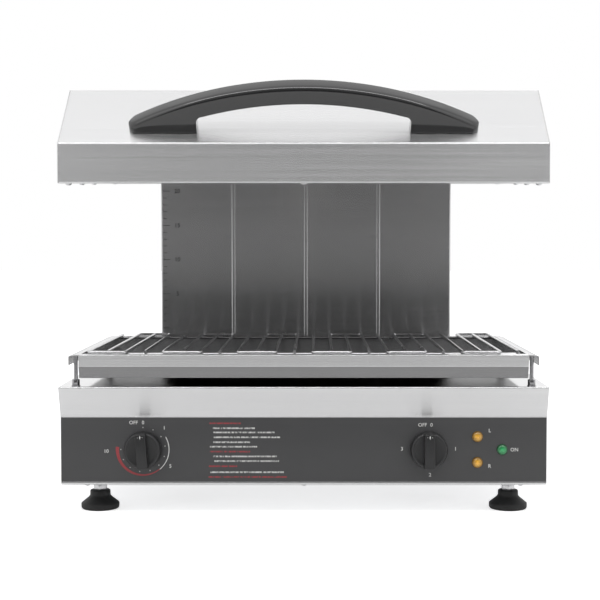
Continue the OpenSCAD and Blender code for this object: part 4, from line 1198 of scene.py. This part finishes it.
def serpentine(x, y_front, y_back, z, pitch, top):
    """Middle line of one heating tube, from one riser to the other."""
    r, riser, halfway = pitch / 2, TUBE_RISER, (y_front + y_back) / 2
    first, last = x - 3 * r, x + 3 * r
    points = [(first, y_back + riser, top)]
    points += bend_points((first, y_back, z + riser), (0, 1, 0), (0, 0, -1), riser)
    points.append((first, halfway, z))
    for middle, y, way in ((x - pitch, y_front, -1), (x, y_back, 1), (x + pitch, y_front, -1)):
        points += bend_points((middle, y, z), (-1, 0, 0), (0, way, 0), r, 10)
        points += bend_points((middle, y, z), (0, way, 0), (1, 0, 0), r, 10)[1:]
        points.append((middle + r, halfway, z))
    points += bend_points((last, y_back, z + riser), (0, 0, -1), (0, 1, 0), riser)
    return points + [(last, y_back + riser, top)]


def make_elements():
    for side in ("left", "right"):
        node = "heating_element_" + side
        a, b = low(node), high(node)
        pitch = (b.x - a.x - 2 * TUBE_RADIUS) / 3
        inset = TUBE_RADIUS + pitch / 2
        bm = bmesh.new()
        line = serpentine((a.x + b.x) / 2, a.y + inset, b.y - inset, a.z + TUBE_RADIUS, pitch, b.z)
        pull_wire(bm, line, TUBE_RADIUS, 14)
        piece(node + "_tube", bm, "hood", "element_sheath", "sheath", [node], smooth=60)


class MELTER_OT_elements(bpy.types.Operator):
    """Makes the two bent heating tubes under the hood"""
    bl_idname = "melter.elements"
    bl_label = "Heating tubes"

    def execute(self, context):
        make_elements()
        return {"FINISHED"}


# ---- Handle ----

GRIP_RISE = 65.5 * MM
GRIP_RADIUS = 445 * MM
GRIP_THICK = 24 * MM
GRIP_WIDE = 22 * MM
GRIP_HALF = 215 * MM
FOOT_INNER = 131 * MM
FOOT_FILLET = 8 * MM
GRIP_SEAT = 30 * MM
CORNER_STEPS = 6


def grip_top(x):
    return GRIP_RISE - GRIP_RADIUS + sqrt(GRIP_RADIUS ** 2 - x ** 2)


def grip_stations():
    """Places along the right half of the handle: x, lower and upper height, and half the width."""
    low_r = GRIP_RADIUS - GRIP_THICK
    crook = FOOT_INNER - FOOT_FILLET
    half = GRIP_WIDE / 2
    tip = half + 0.6 * MM

    def belly(x):
        return GRIP_RISE - GRIP_RADIUS + sqrt(low_r ** 2 - x ** 2)

    found = [(crook * k / 12, belly(crook * k / 12), half) for k in range(13)]
    fillet = arc((crook, belly(crook) - FOOT_FILLET), (FOOT_FILLET, FOOT_FILLET), 90, 0, 6)
    found += [(x, bottom, half) for x, bottom in fillet[1:]]
    found += [(FOOT_INNER, 0.8 * MM, half), (FOOT_INNER + 0.8 * MM, 0, half)]
    found += [(FOOT_INNER + (GRIP_HALF - tip - FOOT_INNER) * k / 7, 0, half) for k in range(1, 8)]
    found += [(GRIP_HALF - tip + tip * sin(radians(a)), 0, min(half, tip * cos(radians(a))))
              for a in range(20, 89, 8)]
    return [(x, bottom, grip_top(x), wide) for x, bottom, wide in found]


def grip_ring(bottom, top, wide):
    """The section's outline: distance down the slope and height out of it."""
    s = sizes()
    edge = min(s.grip_edge, wide * 0.9, (top - bottom) * 0.3)
    brow = min(s.grip_brow, wide * 1.2, (top - bottom) * 0.6)
    ring = []
    for w, h, r, start in ((wide - brow, top - brow, brow, 0), (edge - wide, top - edge, edge, 90),
                           (edge - wide, bottom + edge, edge, 180), (wide - edge, bottom + edge, edge, 270)):
        ring += arc((w, h), (r, r), start, start + 90, CORNER_STEPS)
    return ring


def make_handle():
    half = grip_stations()
    stations = [(-x, *rest) for x, *rest in reversed(half[1:])] + half
    bm = bmesh.new()
    count = bm.verts.layers.int.new("count")
    bmesh.ops.create_circle(bm, cap_ends=False, segments=4 * (CORNER_STEPS + 1), radius=GRIP_WIDE / 2)
    for k, v in enumerate(bm.verts):
        v[count] = k
    ring, edges = bm.verts[:], bm.edges[:]
    first = edges
    for number, (x, bottom, top, wide) in enumerate(stations):
        if number:
            ring, edges, _ = next_ring(bm, edges)
        outline = grip_ring(bottom, top, wide)
        for v in ring:
            w, h = outline[v[count]]
            v.co = (x, h, w)
    bmesh.ops.holes_fill(bm, edges=first + edges, sides=0)
    seat = at(0, LIP_Y + GRIP_SEAT * cos(SLOPE), SHOULDER_Z + GRIP_SEAT * sin(SLOPE))
    moved(bm, seat @ Matrix.Rotation(SLOPE + pi / 2, 4, "X"))
    bmesh.ops.remove_doubles(bm, verts=bm.verts, dist=0.001 * MM)
    outwards(bm)
    piece("bow_handle", bm, "hood", "handle_plastic", "handle", ["handle"], smooth=40)


class MELTER_OT_handle(bpy.types.Operator):
    """Makes the moulded bow handle on the hood's slope"""
    bl_idname = "melter.handle"
    bl_label = "Handle"

    def execute(self, context):
        make_handle()
        return {"FINISHED"}


# ---- Screws and gland ----

HEAD_RADIUS = 4 * MM
HEAD_HEIGHT = 2.55 * MM
HEAD_SEAT = 2.6 * MM


def screw_head(radius, height):
    """A button head that points down -Z from its seat, with a hexagon socket."""
    dome = [(radius, 0)]
    for turn in (12, 28, 46, 64):
        dome.append((radius * (0.98 * cos(radians(turn)) + 0.02), -height * sin(radians(turn))))
    bm = lathe(dome, 24)
    rim = [e for e in bm.edges if e.is_boundary and abs(e.verts[0].co.z) > height * 0.5]
    bmesh.ops.create_circle(bm, cap_ends=False, segments=6, radius=radius * 0.36,
                            matrix=at(0, 0, dome[-1][1] - height * 0.02))
    socket = [e for e in bm.edges if e.is_wire]
    bmesh.ops.bridge_loops(bm, edges=rim + socket)
    pulled = pull_edges(bm, [e for e in socket if e.is_valid], (0, 0, height * 0.55))
    bottom = [e for e in edges_of(pulled) if e.is_boundary]
    bmesh.ops.holes_fill(bm, edges=bottom, sides=0)
    seat = [e for e in bm.edges if e.is_boundary]
    bmesh.ops.holes_fill(bm, edges=seat, sides=0)
    outwards(bm)
    return bm


def shank(radius, reach):
    return lathe([(0, 0), (radius, 0), (radius, reach), (0, reach)], 12)


def solids_of(node):
    """The lowest and highest corners of a node's separate solids."""
    bm = bmesh.new()
    bm.from_mesh(frame["nodes"][node].data)
    bmesh.ops.remove_doubles(bm, verts=bm.verts, dist=0.001 * MM)
    boxes, left = [], dict.fromkeys(bm.verts)
    while left:
        group = [next(iter(left))]
        del left[group[0]]
        for v in group:
            for other in [e.other_vert(v) for e in v.link_edges]:
                if other in left:
                    del left[other]
                    group.append(other)
        boxes.append([Vector([end(v.co[i] for v in group) for i in range(3)]) for end in (min, max)])
    bm.free()
    return boxes


def screw_place(node, a, b):
    """Puts a head where it seats: on a rear wall, on the tower's top, or under a level or sloping flange."""
    size, middle = b - a, (a + b) / 2
    if size.y > max(size.x, size.z):
        return at(middle.x, b.y - HEAD_SEAT, middle.z) @ towards((0, -1, 0))
    if node == "tower_screws":
        return at(middle.x, middle.y, b.z - HEAD_SEAT) @ Matrix.Rotation(pi, 4, "X")
    sloped = node == "hood_screws" and middle.y > LIP_Y + 20 * MM
    lean = atan2(UNDER_RISE, HOOD_DEPTH) if sloped else 0
    return at(middle.x, middle.y, a.z + HEAD_SEAT) @ Matrix.Rotation(lean, 4, "X")


def make_screws():
    for node, body in (("base_screws", "base"), ("tower_screws", "base"), ("hood_screws", "hood")):
        parts = []
        for a, b in solids_of(node):
            here = screw_place(node, a, b)
            parts += [moved(screw_head(HEAD_RADIUS, HEAD_HEIGHT), here), moved(shank(2 * MM, 5 * MM), here)]
        piece(node + "_heads", merged(parts), body, "bright_steel", "bright", [node])


# Outline of the gland's cap, as radius and distance out of the rear wall in mm
GLAND = ((5, -14), (10, -14), (10, 0.2), (11, 7), (11, 15), (10.4, 17.2), (8.6, 19.4), (7.4, 20), (5.4, 20),
         (5, 19.4), (5, -14))


def gland_nut(start, height):
    """A hexagon nut round the gland, from a distance out of the wall."""
    nut = bmesh.new()
    bmesh.ops.create_circle(nut, cap_ends=False, segments=6, radius=14 * MM,
                            matrix=Matrix.Rotation(radians(30), 4, "Z"))
    bmesh.ops.create_circle(nut, cap_ends=False, segments=24, radius=9.9 * MM)
    bmesh.ops.bridge_loops(nut, edges=nut.edges[:])
    pull_faces(nut, nut.faces[:], (0, 0, height))
    return moved(nut, at(0, 0, start))


def make_gland():
    middle = centre_of("cable_gland")
    here = at(middle.x, BASE_BACK_Y, middle.z) @ towards((0, 1, 0))
    cap = moved(lathe([(r * MM, z * MM) for r, z in GLAND], 48), here)
    piece("supply_gland", cap, "base", "gland_plastic", "switch", ["cable_gland"])
    nuts = merged([gland_nut(0.1 * MM, 6.8 * MM), gland_nut(-7.1 * MM, 5.8 * MM)])
    piece("supply_gland_nuts", moved(nuts, here), "base", "gland_plastic", "switch")


class MELTER_OT_fasteners(bpy.types.Operator):
    """Makes the screw heads and the gland of the supply cord"""
    bl_idname = "melter.fasteners"
    bl_label = "Screws and gland"

    def execute(self, context):
        make_screws()
        make_gland()
        return {"FINISHED"}


# ---- Finishes of the remaining pieces ----

SLOT_FINISH = {
    "stainless_brushed": "steel_across", "panel_coating": "panel", "plated_steel": "plated",
    "bright_steel": "bright", "reflector_steel": "reflector", "rack_wire": "wire", "polished_rod": "rod",
    "strut_paint": "strut", "handle_plastic": "handle", "knob_plastic": "knob", "switch_plastic": "switch",
    "gland_plastic": "switch", "foot_rubber": "rubber", "terminal_ceramic": "ceramic", "fibre_board": "fibre",
    "element_sheath": "sheath", "slide_bronze": "bronze",
}


class MELTER_OT_finishes(bpy.types.Operator):
    """Gives the plain pieces of the frame their finishes"""
    bl_idname = "melter.finishes"
    bl_label = "Finishes"

    def execute(self, context):
        slots = {s["node"]: s["material_slot"] for s in frame["record"]["subparts"]}
        for node, thing in frame["nodes"].items():
            if thing.hide_render:
                continue
            name = SLOT_FINISH[slots[node]]
            if not thing.material_slots:
                thing.data.materials.append(None)
            for held in thing.material_slots:
                held.material = finish(name)
        return {"FINISHED"}


# ---- Stage ----

def stage_plane(name, near, far, material):
    """A plane from its near or lower edge to its far or upper one, each given by a corner."""
    bm = bmesh.new()
    corners = (near, (far[0], near[1], near[2]), far, (near[0], far[1], far[2]))
    bm.faces.new([bm.verts.new(c) for c in corners])
    mesh = bpy.data.meshes.new(name)
    bm.to_mesh(mesh)
    bm.free()
    mesh.materials.append(material)
    made = bpy.data.objects.new(name, mesh)
    bpy.context.scene.collection.objects.link(made)
    return made


def seen_by(tree, levels):
    """A number that depends on the ray that asks: the sum of each kind's share."""
    path = tree.nodes.new("ShaderNodeLightPath")
    result = None
    for kind, share in levels.items():
        scaled = tree.nodes.new("ShaderNodeMath")
        scaled.operation = "MULTIPLY_ADD"
        scaled.inputs[1].default_value = share
        scaled.inputs[2].default_value = 0
        tree.links.new(path.outputs["Is %s Ray" % kind], scaled.inputs[0])
        if result:
            tree.links.new(result, scaled.inputs[2])
        result = scaled.outputs["Value"]
    return result


def floor_material():
    f = Finish("stage_floor", (0.9, 0.9, 0.9), 0.0, 0.9)
    f.shader.inputs["Specular IOR Level"].default_value = 0.0
    f.shader.inputs["Emission Color"].default_value = (1, 1, 1, 1)
    f.use(seen_by(f.tree, {"Camera": 0.68, "Glossy": 0.25, "Transmission": 0.2}), "Emission Strength")
    return f.material


def card_material(name, levels, sides):
    """A card whose glow changes with height and sideways: pairs of a distance in metres and a level."""
    f = Finish(name, (0, 0, 0))
    where = f.node("ShaderNodeTexCoord")
    split = f.node("ShaderNodeSeparateXYZ")
    f.link(where.outputs["Object"], split.inputs["Vector"])
    product = f.node("ShaderNodeMath", operation="MULTIPLY")
    for number, (axis, pairs) in enumerate((("Z", levels), ("X", sides))):
        start, reach = pairs[0][0], pairs[-1][0] - pairs[0][0]
        ramp = f.node("ShaderNodeValToRGB")
        f.link(f.between(split.outputs[axis], 0, 1, start, start + reach), ramp.inputs["Fac"])
        f.link(ramp.outputs["Color"], product.inputs[number])
        stops = ramp.color_ramp.elements
        while len(stops) < len(pairs):
            stops.new(0.5)
        for stop, (distance, level) in zip(stops, pairs):
            stop.position = (distance - start) / reach
            stop.color = (level, level, level, 1)
    glow = f.node("ShaderNodeEmission")
    f.link(product.outputs["Value"], glow.inputs["Strength"])
    f.link(glow.outputs["Emission"], f.tree.nodes["Material Output"].inputs["Surface"])
    return f.material


def soft_lamp(name, place, target, size, power):
    lamp = bpy.data.lights.new(name, "AREA")
    lamp.shape = "RECTANGLE"
    lamp.size, lamp.size_y = size
    lamp.energy = power
    made = bpy.data.objects.new(name, lamp)
    made.location = place
    made.rotation_euler = (Vector(target) - Vector(place)).to_track_quat("-Z", "Y").to_euler()
    bpy.context.scene.collection.objects.link(made)


# The eye stands straight before the hood, a little above the rack, and looks slightly down
EYE = (16.1 * MM, LIP_Y - 1.6919, 0.3440)
EYE_DOWN = 2.616
EYE_TURN = 0.075
FLOOR_HALF = 12
# In front of the melter stands a card that its steel mirrors; a dim one lies on the floor for the low folds
CARD_HALF = 1.8
CARD_Y = -2.75
CARD_HEIGHTS = ((0.0, 0.02), (0.24, 0.03), (0.38, 0.07), (0.5, 0.17), (0.6, 0.25), (0.9, 0.34), (2.4, 0.6))
CARD_SIDES = ((-1.8, 1.1), (-0.8, 1.0), (-0.5, 0.66), (0.3, 0.6), (0.55, 1.0), (1.8, 1.1))
SHADE_Y = -1.6
SHADE_LEVEL = 0.24
ROOM_LIGHT = 0.62
# Each lamp's place, what it looks at, its size and its power
STUDIO_LAMPS = {
    "lamp_over": ((0, -0.2, 2.3), (0, 0, 0.3), (2.6, 2.2), 4),
    "lamp_strip": ((0, -1.9, 2.3), (0, -0.2, 0.5), (3.6, 0.4), 22),
    "lamp_front_left": ((-1.9, -1.7, 1.8), (0, 0, 0.2), (1.2, 1.2), 3),
    "lamp_front_right": ((1.9, -1.6, 1.7), (0, 0, 0.2), (1.2, 1.2), 2),
    "lamp_rear": ((0.4, 2.4, 1.6), (0, 0, 0.3), (1.6, 1.2), 8),
}


def set_camera(scene):
    lens = bpy.data.cameras.new("studio_camera")
    lens.sensor_fit = "HORIZONTAL"
    lens.sensor_width = 36
    lens.lens = 83.14
    lens.shift_x = -0.025
    lens.clip_start = 0.05
    lens.clip_end = 100
    camera = bpy.data.objects.new("studio_camera", lens)
    camera.location = EYE
    camera.rotation_euler = (radians(90 - EYE_DOWN), 0, radians(EYE_TURN))
    scene.collection.objects.link(camera)
    scene.camera = camera


def set_planes():
    stage_plane("stage_floor", (-FLOOR_HALF, -FLOOR_HALF, 0), (FLOOR_HALF, FLOOR_HALF, 0), floor_material())
    card = stage_plane("stage_card", (-CARD_HALF, CARD_Y, 0.02), (CARD_HALF, CARD_Y, 2.4),
                       card_material("stage_card", CARD_HEIGHTS, CARD_SIDES))
    level_shade = card_material("stage_shade", ((0.0, SHADE_LEVEL), (1.0, SHADE_LEVEL)),
                                ((-CARD_HALF, 1.0), (CARD_HALF, 1.0)))
    shade = stage_plane("stage_shade", (-CARD_HALF, CARD_Y, 0.003), (CARD_HALF, SHADE_Y, 0.003), level_shade)
    card.visible_camera = shade.visible_camera = False
    shade.visible_diffuse = shade.visible_transmission = shade.visible_shadow = False


def set_world(scene):
    """A white world for the eye and for mirrors, which lights the melter at a lower level."""
    world = scene.world or bpy.data.worlds.new("studio")
    scene.world = world
    world.use_nodes = True
    tree = world.node_tree
    background = tree.nodes["Background"]
    background.inputs["Color"].default_value = (1, 1, 1, 1)
    shown = tree.nodes.new("ShaderNodeMapRange")
    shown.inputs["To Min"].default_value = ROOM_LIGHT
    tree.links.new(seen_by(tree, {"Camera": 1, "Glossy": 1, "Transmission": 1}), shown.inputs["Value"])
    tree.links.new(shown.outputs["Result"], background.inputs["Strength"])


class MELTER_OT_stage(bpy.types.Operator):
    """Sets the camera, the pale floor and the soft studio light"""
    bl_idname = "melter.stage"
    bl_label = "Stage"

    def execute(self, context):
        scene = context.scene
        set_camera(scene)
        scene.view_settings.view_transform = "Standard"
        set_planes()
        set_world(scene)
        for name, facts in STUDIO_LAMPS.items():
            soft_lamp(name, *facts)
        return {"FINISHED"}


# ---- Panel and registration ----

STEPS = ("stage", "base", "knobs", "dial_marks", "lamps", "feet", "tower", "rails", "tray", "rack", "hood",
         "elements", "handle", "fasteners", "finishes")


class MELTER_PT_panel(bpy.types.Panel):
    """Lists the steps that build the melter"""
    bl_label = "Melter"
    bl_idname = "MELTER_PT_panel"
    bl_space_type = "VIEW_3D"
    bl_region_type = "UI"
    bl_category = "Melter"

    def draw(self, context):
        column = self.layout.column(align=True)
        for step in STEPS:
            column.operator("melter." + step)
        for group in (context.scene.melter_sizes, context.scene.melter_colours):
            box = self.layout.box()
            for key in group.__annotations__:
                box.prop(group, key)


CLASSES = (MelterSizes, MelterColours, MELTER_OT_base, MELTER_OT_knobs, MELTER_OT_dial_marks, MELTER_OT_lamps,
           MELTER_OT_feet, MELTER_OT_tower, MELTER_OT_rails, MELTER_OT_tray, MELTER_OT_rack, MELTER_OT_hood,
           MELTER_OT_elements, MELTER_OT_handle, MELTER_OT_fasteners, MELTER_OT_finishes, MELTER_OT_stage,
           MELTER_PT_panel)


def register():
    for each in CLASSES:
        bpy.utils.register_class(each)
    bpy.types.Scene.melter_sizes = PointerProperty(type=MelterSizes)
    bpy.types.Scene.melter_colours = PointerProperty(type=MelterColours)


def unregister():
    del bpy.types.Scene.melter_colours
    del bpy.types.Scene.melter_sizes
    for each in reversed(CLASSES):
        bpy.utils.unregister_class(each)


def main():
    register()
    for step in STEPS:
        getattr(bpy.ops.melter, step)()


if __name__ == "__main__":
    main()
